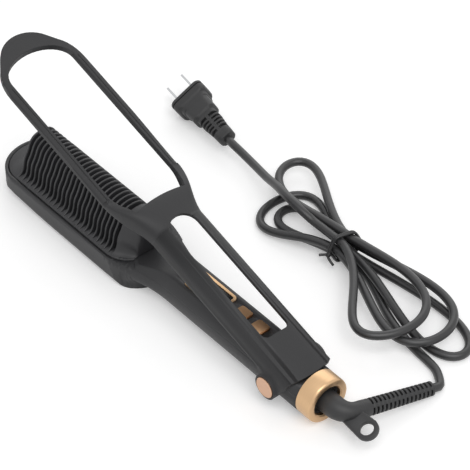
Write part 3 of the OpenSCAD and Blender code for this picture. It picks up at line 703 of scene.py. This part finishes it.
def rounded_slab(mesh: bmesh.types.BMesh, outline: Outline, half: float, edge: float) -> None:
    """Adds a slab across X = 0 with round edges.

    Args:
        mesh: Mesh that gets it.
        outline: Y and Z in millimetres, anticlockwise.
        half: Half its thickness.
        edge: Radius of its edges.
    """
    steps = [(half - edge * (1 - a), edge * (1 - b)) for a, b in arc(1.0, 0.0, math.pi / 2, 3)]
    loft_across(mesh, [(x, inset(outline, depth)) for x, depth in both_sides(steps)])


@dataclass
class CombHead(SubAssembly):
    """Heated comb with its fins and neck block, and the heater inside."""

    finishes: ClassVar[dict[str, Finish]] = {
        "heater_plate": Finishes.CERAMIC,
        "heater_bracket": Finishes.STEEL,
        "mica_sheet": Finishes.MICA,
        "thermistor": Finishes.BRASS,
        "thermal_fuse": Finishes.STEEL,
    }

    rim: float = 19.0
    height: float = 27.4
    foot: float = 22.0
    sunk: float = 1.0
    fins: int = 24
    pitch: float = 3.917
    first: float = 121.7
    thickness: float = 1.45
    edge: float = 0.6
    block_front: float = 27.7
    core_half: float = 11.0
    core_bottom: float = 7.5
    lap: float = 0.4
    # Shares of the foot's half width and of the height, from the foot to the top
    profile: Outline = field(
        default_factory=lambda: [
            (1, 0), (0.91, 0.025), (0.82, 0.075), (0.75, 0.18), (0.705, 0.365), (0.66, 0.47),
            (0.59, 0.565), (0.52, 0.68), (0.47, 0.78), (0.40, 0.87), (0.29, 0.947), (0.15, 0.988), (0, 1),
        ]
    )  # fmt: skip
    # The block behind the fins: X, and its shares of the fin's width and height
    block: list[Point] = field(
        default_factory=lambda: [
            (27.7, 1, 1), (26.4, 0.96, 1.0), (24.6, 0.89, 0.995), (22.6, 0.81, 0.97), (20.6, 0.74, 0.9),
            (18.8, 0.68, 0.78), (17.2, 0.63, 0.6), (16, 0.59, 0.38), (15.4, 0.56, 0.12),
        ]
    )  # fmt: skip
    # The core under the fins: Y in millimetres, and shares of the height
    core: Outline = field(
        default_factory=lambda: [
            (-12, 0), (12, 0), (9, 0.35), (6, 0.58), (2.5, 0.68), (-2.5, 0.68), (-6, 0.58), (-9, 0.35),
        ]
    )  # fmt: skip

    def outline(self) -> Outline:
        """Outline of a fin as Y and Z in millimetres, anticlockwise."""
        half = [Vector((0, y * self.foot, z * self.height)) for y, z in self.profile]
        line = [(self.foot, self.rim - self.sunk)]
        line += [(p.y, p.z + self.rim) for p in smooth_line(half, 1.3)]
        return line + [(-y, z) for y, z in reversed(line[:-1])]

    def fin(self) -> bmesh.types.BMesh:
        """One fin about X = 0, with round edges."""
        mesh = bmesh.new()
        rounded_slab(mesh, self.outline(), self.thickness / 2, self.edge)
        return mesh

    def body(self) -> bmesh.types.BMesh:
        """Core under the fins, its foot plate and the block behind them."""
        mesh = bmesh.new()
        last = self.first - (self.fins - 1) * self.pitch
        core = [(y, self.rim + z * self.height) for y, z in self.core]
        foot = rectangle(self.core_half, self.core_bottom, self.rim + self.lap)
        for ring, start in ((core, self.block_front), (foot, last)):
            loft_across(mesh, [(start, ring), (self.first, ring)])
        fin = self.outline()
        loft_across(
            mesh,
            [
                (x, [(y * wide, self.rim + (z - self.rim) * tall) for y, z in fin])
                for x, wide, tall in smooth_line([Vector(b) for b in self.block], 0.9)
            ],
        )
        return mesh

    def build(self) -> None:
        """Makes the comb and dresses the solids."""
        row = Row("heated_comb", self.fins, -self.pitch * MM, self.first * MM)
        comb = row.grow(self.body(), self.fin(), Finishes.FINS)
        self.add_piece(comb, Finishes.FINS, "handle", "fin_block")
        self.dress_nodes()


@dataclass
class Housing(SubAssembly):
    """The two shells and the tray between them, with the neck drawn out smoothly to the head."""

    finishes: ClassVar[dict[str, Finish]] = {
        "control_board": Finishes.BOARD,
        "tact_switches": Finishes.PLAIN_BLACK,
        "display_module": Finishes.PLAIN_BLACK,
        "display_lens": Finishes.WINDOW,
        "display_frame": Finishes.GOLD,
        "power_button": Finishes.BUTTON,
        "temperature_button": Finishes.BUTTON,
        "housing_screws": Finishes.STEEL,
    }

    handle_half: float = 15.0
    head_half: float = 25.0
    neck_start: float = -16.0
    neck_end: float = 31.0
    neck_length: float = 26.5
    widen_from: float = 3.0
    widen_over: float = 9.0
    split: float = 15.0
    deck: float = 25.9
    front_top: float = 19.6
    front: float = 15.5
    step: float = 1.5
    smoothing: int = 10
    skin_margin: float = 2.0
    skin_low: float = 1.5
    skin_high: float = 14.2
    skin_side: float = 9.0
    skin_slope: float = 0.25
    drawn_angle: float = 52.0

    def width(self, x: float) -> float:
        """Half width of the drawn-out neck at X, in millimetres."""
        share = (x - self.neck_start) / (self.neck_end - self.neck_start)
        return mix(self.handle_half, self.head_half, ease(share))

    def solid_width(self, x: float) -> float:
        """Half width of the solids there: the handle, or the head's elliptic end."""
        share = min(max((self.neck_end - x) / self.neck_length, 0.0), 1.0)
        return max(self.handle_half, self.head_half * math.sqrt(1 - share * share))

    def flow(self, point: Vector, lower_top: bool) -> Vector:
        """Draws a point of the neck outwards, and down where the handle's top meets the tray.

        Args:
            point: Point in metres.
            lower_top: Whether the part above the split comes down.

        Returns:
            Where it goes.
        """
        x, y, z = point / MM
        if not self.neck_start < x < self.neck_end:
            return point
        widen = self.width(x) / self.solid_width(x)
        reach = ease((z - self.widen_from) / self.widen_over)
        y *= 1 + (widen - 1) * reach
        if lower_top and z > self.split:
            drop = ease((x - self.neck_start) / (self.front - self.neck_start))
            top = mix(self.deck, self.front_top, drop)
            z = self.split + (z - self.split) * (top - self.split) / (self.deck - self.split)
        return metres(x, y, z)

    def drawn(self, node: str, name: str, lower_top: bool) -> bpy.types.Object:
        """Copies a solid and draws its neck.

        Args:
            node: The solid.
            name: Name of the piece.
            lower_top: Whether its top comes down at the tray.

        Returns:
            The piece.
        """
        mesh = node_copy(node)
        slice_up(mesh, 0, self.neck_start * MM, self.neck_end * MM, self.step * MM)
        slice_up(mesh, 2, 2 * self.step * MM, self.split * MM, self.step * MM)
        for vert in mesh.verts:
            vert.co = self.flow(vert.co, lower_top)
        mesh.normal_update()
        skin = [vert for vert in mesh.verts if self.is_outer(vert)]
        for _ in range(self.smoothing):
            bmesh.ops.smooth_vert(mesh, verts=skin, factor=0.5, use_axis_y=True, use_axis_z=True)
        return from_bmesh(name, mesh)

    def is_outer(self, vert: bmesh.types.BMVert) -> bool:
        """Whether a point of the drawn neck is on its outer skin, below the rim."""
        x, y, z = vert.co / MM
        inside = self.neck_start + self.skin_margin < x < self.neck_end - self.skin_margin
        if not (inside and self.skin_low < z < self.skin_high and abs(y) > self.skin_side):
            return False
        return vert.normal.y * y > self.skin_slope * abs(y)

    def build(self) -> None:
        """Makes the drawn shells and dresses the solids."""
        for node, name, slot, finish, lower_top in (
            ("lower_shell", "lower_housing", "body_plastic", Finishes.SHELL, False),
            ("upper_shell", "upper_housing", "body_plastic", Finishes.SHELL, True),
            ("comb_tray", "tray_plate", "tray_plastic", Finishes.TRAY, False),
        ):
            piece = self.add_piece(self.drawn(node, name, lower_top), finish, "handle", node)
            piece.data.set_sharp_from_angle(angle=math.radians(self.drawn_angle))
        self.dress_nodes()


@dataclass
class ClampArm(SubAssembly):
    """The arm on its hinge, with its gold caps."""

    finishes: ClassVar[dict[str, Finish]] = {
        "pivot_caps": Finishes.CAP,
        "hinge_axle": Finishes.STEEL,
        "return_spring": Finishes.STEEL,
    }

    hinge: Point = (-113.0, 0.0, 15.0)
    opening: float = 17.0
    loop_start: float = 146.0
    rail_inner: float = 23.4
    rail_width: float = 5.0
    blend: float = 46.0
    arch: float = 8.0
    arch_base: float = 10.3
    arch_left: float = 0.3
    arch_least: float = 0.02
    cut_step: float = 2.5
    edge_cuts: Point = (1.2, 4.4, 0.8)

    def place(self) -> Matrix:
        """Where the arm's own frame stands when it is open, with its length along X."""
        at = Matrix.Translation(Vector(self.hinge) * MM)
        return at @ Matrix.Rotation(math.radians(-self.opening), 4, "Y")

    def rounded(self, point: Vector) -> Vector:
        """Brings down the outer side of a rail's top, most of all where the bridge flows into it.

        Args:
            point: Point in the arm's own frame, in metres.

        Returns:
            Where it goes.
        """
        x, y, z = point / MM
        outer = self.rail_inner + self.rail_width
        across = (self.arch - outer + abs(y)) / self.arch
        if x <= self.loop_start or z < self.arch_base or across <= 0:
            return point
        arch = math.sqrt(max(1 - across * across, self.arch_least))
        share = mix(1, arch, mix(1, self.arch_left, ease((x - self.loop_start) / self.blend)))
        return metres(x, y, self.arch_base + (z - self.arch_base) * share)

    def moulding(self) -> bpy.types.Object:
        """The arm with its rails' tops rounded off outwards, from the solid."""
        mesh = node_copy("clamp_arm")
        place = self.place()
        mesh.transform(place.inverted())
        start = self.loop_start + 0.2
        slice_up(mesh, 0, start * MM, (self.loop_start + self.blend) * MM, self.cut_step * MM)
        inner, outer, step = self.edge_cuts
        near, far = self.rail_inner + inner, self.rail_inner + outer
        for low, high in ((-far, -near), (near, far)):
            slice_up(mesh, 1, low * MM, high * MM, step * MM)
        for vert in mesh.verts:
            vert.co = self.rounded(vert.co)
        mesh.transform(place)
        return from_bmesh("arm_moulding", mesh)

    def build(self) -> None:
        """Makes the arm and dresses the solids."""
        arm = self.add_piece(self.moulding(), Finishes.ARM, "clamp_arm", "clamp_arm")
        self.dress_nodes()


@dataclass
class Swivel(SubAssembly):
    """Tail ring, swivel and the moulded elbow with its tab and ribbed sleeve."""

    finishes: ClassVar[dict[str, Finish]] = {
        "tail_ring": Finishes.GOLD,
        "swivel_socket": Finishes.PLAIN_BLACK,
        "brush_contacts": Finishes.BRASS,
        "swivel_core": Finishes.PLAIN_BLACK,
        "slip_rings": Finishes.BRASS,
    }

    sides: int = 36
    tail: float = -145.0
    axis_height: float = 15.0
    roll: float = 10.0
    stub_radius: float = 7.0
    sleeve_root: tuple[float, float] = (-15.0, -9.0)
    sleeve_length: float = 52.2
    sleeve_lean: float = 10.4
    smooth_length: float = 8.0
    ribs: int = 15
    rib_half: float = 0.27
    rib_foot: float = 1.2
    rib_edge: float = 0.22
    rib_round: float = 0.12
    root_radius: float = 5.3
    end_radius: float = 4.4
    core_radius: float = 3.3
    core_end: float = 2.95
    spine_turn: float = 43.0
    spine_half: float = 1.1
    elbow_end: float = 5.5
    tab_back: tuple[float, float] = (-12.5, -3.2)
    tab_neck: float = 5.6
    tab_edge: float = 0.55
    tab_round: float = 0.16
    tab_hole: tuple[float, float] = (-29.0, -3.0)
    tab_radius: float = 6.9
    hole_radius: float = 4.1
    tab_half: float = 1.7
    tab_drop: float = 1.6
    tab_turn: float = -32.0

    def place(self) -> Matrix:
        """Where the swivel's own frame stands, in metres."""
        at = Matrix.Translation(Vector((self.tail, 0, self.axis_height)) * MM)
        return at @ Matrix.Rotation(math.radians(self.roll), 4, "X")

    def sleeve_place(self) -> Matrix:
        """Where the sleeve's own frame stands in the swivel's, with its length along X."""
        at = Matrix.Translation(Vector((*self.sleeve_root, 0)) * MM)
        return at @ Matrix.Rotation(math.radians(-90 - self.sleeve_lean), 4, "Z")

    def cord_exit(self) -> tuple[Vector, Vector]:
        """Point where the cord leaves the sleeve, in millimetres, and its direction there."""
        place = self.place() @ self.sleeve_place()
        axis = place.to_3x3() @ Vector((1, 0, 0))
        return place.translation / MM + axis * self.sleeve_length, axis

    def rib(self, pitch: float) -> bmesh.types.BMesh:
        """One rib of the sleeve about X = 0, with soft edges."""
        mesh, half = bmesh.new(), self.rib_half * pitch
        flank = [(half, self.rib_foot), (half, self.rib_round), (half - self.rib_edge, 0.0)]
        loft_across(mesh, [(x, circle(self.root_radius - d, self.sides)) for x, d in both_sides(flank)])
        return mesh

    def sleeve(self) -> bpy.types.Object:
        """Ribbed sleeve: ribs on a core, joined by two spines."""
        length, smooth = self.sleeve_length, self.smooth_length
        pitch = (length - smooth) / self.ribs
        mesh = bmesh.new()
        core = ((0, self.core_radius), (length - 0.4, self.core_end))
        # The smooth root, as X and radius
        root = ((-1, 5.5), (2, 5.5), (5, 5.4), (smooth - 0.5, 5.3), (smooth, 5.0))
        for turned in (core, root):
            loft_across(mesh, [(x, circle(r, self.sides)) for x, r in turned])
        inner = [(self.spine_half, 0.5), (-self.spine_half, 0.5)]
        for side in (0, 180):
            turn = Matrix.Rotation(math.radians(self.spine_turn + side), 4, "X")
            rows = []
            for x, r in ((0, self.root_radius), (length - 0.6, self.end_radius)):
                top = [(r * math.sin(a), r * math.cos(a)) for a in map(math.radians, (-13, -8, 0, 8, 13))]
                rows.append([turn @ metres(x, y, z) for y, z in top + inner])
            loft(mesh, rows)
        shrink = 1 - self.end_radius / self.root_radius
        row = Row("ribbed_sleeve", self.ribs, pitch * MM, (smooth + 0.6 * pitch) * MM, shrink)
        made = row.grow(mesh, self.rib(pitch), Finishes.SOFT_PVC)
        made.data.transform(self.place() @ self.sleeve_place())
        return made

    def elbow(self) -> bpy.types.Object:
        """Smooth bend from the ring's bore into the sleeve."""
        lean = math.radians(self.sleeve_lean)
        out = Vector((-math.sin(lean), -math.cos(lean), 0))
        root = Vector((*self.sleeve_root, 0))
        knots = [(4, 0, 0), (-2, 0, 0), (-7, -0.3, 0), (-11, -2.0, 0), (-13.8, -5.2, 0)]
        path = [p * MM for p in smooth_line([*map(Vector, knots), root, root + 2.5 * out], 1.0)]

        def radius(t: float) -> float:
            """Radius along the bend, in metres."""
            return mix(self.stub_radius, self.elbow_end, ease((t - 0.3) / 0.6)) * MM

        made = sweep("moulded_elbow", path, radius, self.sides)
        made.data.transform(self.place())
        return made

    def tab_outline(self) -> Outline:
        """Outline of the tab: two circles and the straight lines that touch both."""
        (hx, hy), (bx, by) = self.tab_hole, self.tab_back
        lead = math.atan2(by - hy, bx - hx)
        spread = math.acos((self.tab_radius - self.tab_neck) / math.hypot(bx - hx, by - hy))
        free = arc(self.tab_radius, lead + spread, lead - spread + 2 * math.pi, 40)
        neck = arc(self.tab_neck, lead - spread, lead + spread, 12)
        return [(hx + x, hy + y) for x, y in free] + [(bx + x, by + y) for x, y in neck]

    def tab(self) -> bpy.types.Object:
        """Hanging tab: a drop-shaped plate with round edges and a round hole."""
        mesh = bmesh.new()
        outer, (hx, hy) = self.tab_outline(), self.tab_hole
        edge, round_off, half = self.tab_edge, self.tab_round, self.tab_half
        levels = both_sides([(half, edge), (half - round_off, round_off), (half - edge, 0.0)])
        rims = [[metres(x, y, z) for x, y in inset(outer, depth)] for z, depth in levels]
        bores = [
            [metres(hx + x, hy + y, z) for x, y in circle(self.hole_radius + depth, 40)]
            for z, depth in levels
        ]
        stacks = [[[mesh.verts.new(p) for p in ring] for ring in rings] for rings in (rims, bores)]
        for stack in stacks:
            bridge(mesh, stack)
        for end in (0, -1):
            edges = []
            for ring in (stack[end] for stack in stacks):
                edges += [mesh.edges.get(pair) for pair in zip(ring, [*ring[1:], ring[0]])]
            bmesh.ops.triangle_fill(mesh, edges=edges, use_beauty=True)
        there = Matrix.Translation(metres(*self.tab_back, 0))
        turn = there @ Matrix.Rotation(math.radians(self.tab_turn), 4, "X") @ there.inverted()
        mesh.transform(self.place() @ turn @ Matrix.Translation(metres(0, 0, -self.tab_drop)))
        return from_bmesh("hanging_tab", mesh)

    def build(self) -> list[bpy.types.Object]:
        """Makes the elbow, tab and sleeve, and dresses the solids.

        Returns:
            The moulded pieces, from which the cord comes.
        """
        made = [self.elbow(), self.tab(), self.sleeve()]
        for piece in made:
            self.add_piece(piece, Finishes.SOFT_PVC, "cord_swivel", "strain_relief")
        self.dress_nodes()
        return made


# ---- Cord ----


@dataclass
class Cord(SubAssembly):
    """The mains cord with its tie and plug: from the sleeve, round the hank's loops, to the blades.

    Its route repeats the solids' own: millimetres, in the part's frame.
    """

    finishes: ClassVar[dict[str, Finish]] = {"plug_blades": Finishes.BLADE}

    swivel: Swivel
    diameter: float = 5.5
    plug_face: Point = (117.4, -115.5, 12.5)
    plug_yaw: float = -9.2
    plug_length: float = 49.6
    plug_roll: float = -31.7
    plates: int = 4
    plate_pitch: float = 3.0
    plate_first: float = 30.2
    plate_shrink: float = 0.18
    plate_half: float = 0.75
    plate_edge: float = 0.3
    relief_span: tuple[float, float] = (-26.0, -43.0)
    route_step: float = 2.4
    cord_sides: int = 14
    wire: float = 0.85
    wraps: int = 2
    wrap_half: float = 1.3
    wrap_shift: float = 1.7
    wrap_lean: float = 2.5
    tie_gap: float = 0.3
    twist_turns: float = 1.1
    twist_from: float = 0.5
    twist_rise: float = 0.16
    waist: tuple[float, float] = (-52.0, -98.0)
    waist_half: float = 18.0
    lead_route: list[Point] = field(
        default_factory=lambda: [
            (-85, -92, 3.7), (-95, -88, 3.1), (-106, -83.3, 2.9), (-118, -79.2, 2.8), (-130, -76.5, 2.8),
            (-142, -75, 2.8), (-151, -74.2, 2.8), (-158.5, -73, 2.8), (-164.5, -70, 3),
        ]
    )  # fmt: skip
    tail_route: list[Point] = field(
        default_factory=lambda: [
            (-20, -92.4, 20), (-10, -92.2, 22), (0, -94.2, 21), (12, -98, 17.4), (24, -101.4, 13.4),
            (40, -105, 11), (54, -106.7, 11),
        ]
    )  # fmt: skip
    # Where each pass of the hank crosses the tie, as Y from the waist and Z
    passes: Outline = field(
        default_factory=lambda: [
            (3.8, 16.6), (-3.6, 16.6), (-6.4, 10.6), (6.2, 10.6), (-3.2, 4.6), (-0.1, 10.6), (3.2, 4.6),
        ]
    )  # fmt: skip
    # Each lobe's reach, lean in degrees, half width, side and height at its tip
    lobes: list[tuple[float, float, float, int, float]] = field(
        default_factory=lambda: [
            (-86, 23, 22, 1, 16.9), (82, -16, 13, 1, 9.8), (-95, 7, 19, -1, 10.4),
            (64, -1, 18, 1, 2.9), (-109, 3, 13, -1, 2.9), (54, 0, 10, -1, 2.9),
        ]
    )  # fmt: skip

    def plug_axis(self) -> Vector:
        """Direction from the cord to the plug's face."""
        yaw = math.radians(self.plug_yaw)
        return Vector((math.cos(yaw), math.sin(yaw), 0))

    def plug_end(self) -> Vector:
        """Point where the cord enters the plug."""
        return Vector(self.plug_face) - self.plug_length * self.plug_axis()

    def lobe(self, i: int, t: float) -> Vector:
        """Point on a lobe of the hank.

        Args:
            i: Number of the lobe.
            t: Share of the way round it.

        Returns:
            The point.
        """
        (ay, az), (by, bz) = self.passes[i], self.passes[i + 1]
        reach, lean, half, side, tip = self.lobes[i]
        s, m = math.sin(math.pi * t), ease(t)
        out = reach * s**1.25
        across = side * 2.6 * half * math.cos(math.pi * t) * s * s
        turn = math.radians(math.copysign(lean, lean * reach) * s)
        height = mix(mix(az, bz, m), tip, ease((s - 0.3) / 0.65))
        return Vector(
            (
                self.waist[0] + out * math.cos(turn) - across * math.sin(turn),
                self.waist[1] + mix(ay, by, m) + out * math.sin(turn) + across * math.cos(turn),
                height,
            )
        )

    def hank_points(self, rings: int) -> list[Vector]:
        """Points of the hank from the tail's end to the lead's end.

        Args:
            rings: Steps in each lobe.

        Returns:
            Points in millimetres.
        """
        sides = [1] + [int(math.copysign(1, k[0])) for k in self.lobes] + [-1]
        x, y = self.waist
        first, last = self.passes[0], self.passes[-1]
        points = [Vector((x + d, y + first[0], first[1])) for d in (self.waist_half, 12, 6)]
        for i, (dy, z) in enumerate(self.passes):
            points += [Vector((x + 3 * s, y + dy, z)) for s in (sides[i], sides[i + 1])]
            if i < len(self.lobes):
                points += [self.lobe(i, j / rings) for j in range(1, rings)]
        points += [Vector((x - d, y + last[0], last[1])) for d in (6, 12, self.waist_half)]
        return points

    def route(self) -> list[Vector]:
        """Whole route from the sleeve to the plug, in metres."""
        hank = self.hank_points(24)
        d = Vector((self.diameter, 0, 0))
        start, axis = self.swivel.cord_exit()
        end, plug = self.plug_end(), self.plug_axis()
        points = [start, start + axis * self.diameter]
        points += [Vector(p) for p in reversed(self.lead_route)]
        points += [hank[-1] - d, *reversed(hank), hank[0] + d]
        points += [Vector(p) for p in self.tail_route]
        points += [end - plug * self.diameter, end]
        return [p * MM for p in points]

    def plug_place(self) -> Matrix:
        """Where the plug's own frame stands, with its blades along X, in metres."""
        at = Matrix.Translation(Vector(self.plug_face) * MM)
        yaw = Matrix.Rotation(math.radians(self.plug_yaw), 4, "Z")
        return at @ yaw @ Matrix.Rotation(math.radians(self.plug_roll), 4, "X")

    def block(self, width: float, thickness: float, corner: float) -> Outline:
        """Rounded rectangle across the plug, as Y and Z in millimetres, anticlockwise."""
        points = []
        for quarter, (y_side, z_side) in enumerate(((1, 1), (-1, 1), (-1, -1), (1, -1))):
            y_mid, z_mid = y_side * (width / 2 - corner), z_side * (thickness / 2 - corner)
            turn = math.radians(90 * quarter)
            points += [(y_mid + y, z_mid + z) for y, z in arc(corner, turn, turn + math.pi / 2, 6)]
        return points

    def plug(self) -> bpy.types.Object:
        """Plug: a wide head with a lip, a stepped neck, and a relief of plates on a core."""
        mesh = bmesh.new()
        # X from the face, width, thickness and radius of the corners
        sections = [
            (0, 22.6, 14.2, 3.0), (-0.3, 24.6, 16.2, 4), (-1.0, 25.4, 17, 4), (-2.7, 25.4, 17, 4),
            (-2.8, 25.3, 15.0, 4), (-3.8, 25.3, 15.0, 4), (-3.9, 25.4, 17, 4), (-7.4, 24.8, 16.8, 4),
            (-8.6, 23.6, 16.2, 4), (-9.2, 20.8, 15.2, 4), (-10.6, 20.2, 14.8, 4), (-12.4, 19.9, 14.6, 4),
            (-12.9, 18.8, 14.2, 4), (-15.0, 18.3, 14.0, 4), (-21, 18.0, 13.6, 4), (-22.4, 17.6, 13.4, 4),
            (-23.2, 15.4, 12.0, 3.8), (-23.6, 14.0, 11.2, 3.6), (-27.0, 13.6, 10.8, 3.6),
            (-27.2, 9.6, 7.4, 3.2), (-42.0, 7.8, 6.8, 3.0), (-42.2, 11.6, 9.4, 3.4), (-42.6, 12.2, 9.8, 3.4),
            (-48.4, 11.6, 9.4, 3.4), (-49.3, 10.4, 8.6, 3.2), (-49.6, 7.6, 6.8, 3.2),
        ]  # fmt: skip
        loft_across(mesh, [(x, self.block(w, t, r)) for x, w, t, r in sections])
        # The relief's two spines: half width and half thickness, and how far they narrow
        for half_y, half_z, narrow_y, narrow_z in ((1.15, 5.4, 1.0, 0.84), (7.2, 0.8, 0.8, 1.0)):
            near = rectangle(half_y, -half_z, half_z)
            far = [(y * narrow_y, z * narrow_z) for y, z in near]
            loft_across(mesh, list(zip(self.relief_span, (near, far))))
        plate = bmesh.new()
        rounded_slab(plate, self.block(14.2, 11, 3.6), self.plate_half, self.plate_edge)
        pitch, first = -self.plate_pitch * MM, -self.plate_first * MM
        row = Row("plug_housing", self.plates, pitch, first, self.plate_shrink)
        made = row.grow(mesh, plate, Finishes.SOFT_PVC)
        made.data.transform(self.plug_place())
        return made

    def bundle(self, grow: float) -> list[Vector]:
        """Outline round the hank's strands at the tie, as Y and Z in millimetres.

        Args:
            grow: Distance outside the strands.

        Returns:
            Points, anticlockwise.
        """
        reach = self.diameter / 2 + grow
        cloud = sorted(
            (round(y + a, 4), round(z + b, 4)) for y, z in self.passes for a, b in circle(reach, 32)
        )
        hull: Outline = []
        for points in (cloud, cloud[::-1]):
            side: Outline = []
            for y, z in points:
                while len(side) > 1:
                    (ay, az), (by, bz) = side[-2:]
                    if (by - ay) * (z - az) > (bz - az) * (y - ay):
                        break
                    side.pop()
                side.append((y, z))
            hull += side[:-1]
        ring = [Vector((0, y, z)) for y, z in hull]
        return smooth_line([*ring, ring[0]], 0.8)[:-1]

    def tie(self) -> bpy.types.Object:
        """Wire tie: a plastic-coated wire wrapped round the strands, with its ends twisted."""
        x, y = self.waist
        ring = self.bundle(self.tie_gap + self.wire)
        # The wraps start where the outline is nearest to the viewer's side
        start = max(range(len(ring)), key=lambda i: ring[i].y - 0.6 * abs(ring[i].z - 9))
        ring = ring[start:] + ring[:start]
        half = max(abs(p.y) for p in self.bundle(self.tie_gap))
        points: list[Vector] = []
        steps = self.wraps * len(ring)
        for k in range(steps + 1):
            p = ring[k % len(ring)]
            along = mix(self.wrap_half, -self.wrap_half, k / steps) - self.wrap_lean * (1 - p.y / half)
            points.append(Vector((x + self.wrap_shift + along, y + p.y, p.z)))
        base, out = (points[0] + points[-1]) / 2, Vector((0, 1, -0.25))
        twist = []
        for side in (0, math.pi):
            turns = arc(self.wire * 1.05, side, side + 2 * math.pi * self.twist_turns, 13)
            rise = [base + out * (self.twist_from + self.twist_rise * k) for k in range(len(turns))]
            twist.append([p + Vector((a, 0, b)) for p, (a, b) in zip(rise, turns)])
        # The ends bend away from the twist
        ends = ([(3.2, 3.4, -0.6), (1.8, 1.6, -0.4)], [(-2.6, 0.4, -1.4), (-5.4, 0.2, -3.2)])
        first, last = ([coil[-1] + Vector(t) for t in end] for coil, end in zip(twist, ends))
        line = [*first, *reversed(twist[0]), *points[2:-2], *twist[1], *last]
        path = [p * MM for p in smooth_line([Vector((p.x, p.y, max(p.z, 1.2))) for p in line], 0.5)]
        return sweep("wire_tie", path, self.wire * MM, 10)

    def build(self, relief: Sequence[bpy.types.Object]) -> None:
        """Args:
            relief: The pieces of the strain relief, from which the cord comes. Not used.
        """
        tie = self.add_piece(self.tie(), Finishes.TIE_PVC, "cord_swivel", "hank_tie")
        plug = self.add_piece(self.plug(), Finishes.SOFT_PVC, "cord_swivel", "plug_body")
        path = smooth_line(self.route(), self.route_step * MM)
        cord = sweep("mains_cord", path, self.diameter / 2 * MM, self.cord_sides)
        self.add_piece(cord, Finishes.CORD_PVC, "cord_swivel", "cord_lead", "cord_hank", "cord_tail")
        self.dress_nodes()
        log.info("mains_cord: %.3f m long", line_length(path))


# ---- Studio ----


@dataclass
class Studio:
    """Camera in the photograph's view, a white floor and soft lamps."""

    target: Point = (9.84, -62.9, -3.0)
    azimuth: float = 229.3
    elevation: float = 43.17
    distance: float = 1.5
    lens: float = 183.8
    sensor: float = 36.0
    paper: float = 0.86
    lift: float = 0.27
    room_light: float = 0.55
    # Each lamp's name, place in metres, side in metres and watts
    lamps: tuple[tuple[str, Point, float, float], ...] = (
        ("key_lamp", (-0.9, 0.4, 1.6), 1.4, 16),
        ("fill_lamp", (0.9, -1.2, 1.1), 1.6, 7),
    )

    def camera(self) -> None:
        """Places the camera."""
        data = bpy.data.cameras.new("camera")
        data.lens, data.sensor_width, data.clip_end = self.lens, self.sensor, 20
        camera = placed("camera", data)
        a, e = math.radians(self.azimuth), math.radians(self.elevation)
        back = Vector((math.sin(a) * math.cos(e), -math.cos(a) * math.cos(e), math.sin(e)))
        at = Matrix.Translation(Vector(self.target) * MM + back * self.distance)
        camera.matrix_world = at @ (-back).to_track_quat("-Z", "Y").to_matrix().to_4x4()
        bpy.context.scene.camera = camera

    def seen(self, tree: bpy.types.NodeTree) -> Socket:
        """Socket that is 1 for what the camera sees, straight, in gloss or through glass."""
        ray = add(tree, "ShaderNodeLightPath").outputs
        straight = reckon(tree, "MAXIMUM", ray["Is Camera Ray"], ray["Is Transmission Ray"])
        return reckon(tree, "MAXIMUM", straight, ray["Is Glossy Ray"])

    def floor(self) -> None:
        """Lays a white floor that keeps the object's shadow and looks white elsewhere."""
        mesh = bmesh.new()
        bmesh.ops.create_grid(mesh, x_segments=1, y_segments=1, size=6)
        floor = from_bmesh("floor", mesh)
        material = bpy.data.materials.new("white_paper")
        tree = bare_tree(material)
        paper = add(tree, "ShaderNodeBsdfDiffuse", {"Color": (*[self.paper] * 3, 1)})
        lift = reckon(tree, "MULTIPLY", self.lift, self.seen(tree))
        glow = add(tree, "ShaderNodeEmission", {"Color": (1, 1, 1, 1), "Strength": lift})
        both = add(tree, "ShaderNodeAddShader", {0: paper.outputs[0], 1: glow.outputs[0]})
        add(tree, "ShaderNodeOutputMaterial", {"Surface": both.outputs[0]})
        floor.data.materials.append(material)

    def world(self) -> None:
        """Lights the room evenly, and shows white to the camera."""
        world = bpy.data.worlds.new("room")
        bpy.context.scene.world = world
        tree = bare_tree(world)
        given = {"Value": self.seen(tree), "To Min": self.room_light, "To Max": 1.0}
        strength = add(tree, "ShaderNodeMapRange", given).outputs["Result"]
        back = add(tree, "ShaderNodeBackground", {"Color": (1, 1, 1, 1), "Strength": strength})
        add(tree, "ShaderNodeOutputWorld", {"Surface": back.outputs[0]})

    def lamp(self, name: str, place: Point, size: float, power: float) -> None:
        """Hangs one soft lamp that points at the object.

        Args:
            name: Name of the lamp.
            place: Where it hangs, in metres.
            size: Side of its square.
            power: Watts.
        """
        data = bpy.data.lights.new(name, "AREA")
        data.shape, data.size, data.energy = "SQUARE", size, power
        lamp = placed(name, data)
        lamp.location = place
        lamp.rotation_mode = "QUATERNION"
        lamp.rotation_quaternion = (-Vector(place)).to_track_quat("-Z", "Y")

    def build(self) -> None:
        """Sets the floor, the world and the lamps."""
        self.floor()
        self.world()
        for lamp in self.lamps:
            self.lamp(*lamp)
        bpy.context.scene.view_settings.view_transform = "Standard"


def main() -> None:
    """Builds the camera and the cord first, then the other sub-assemblies and the studio."""
    logging.basicConfig(level=logging.INFO, format="%(message)s")
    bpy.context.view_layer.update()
    studio = Studio()
    studio.camera()
    swivel = Swivel()
    Cord(swivel).build(swivel.build())
    Housing().build()
    CombHead().build()
    ClampArm().build()
    studio.build()


if __name__ == "__main__":
    main()
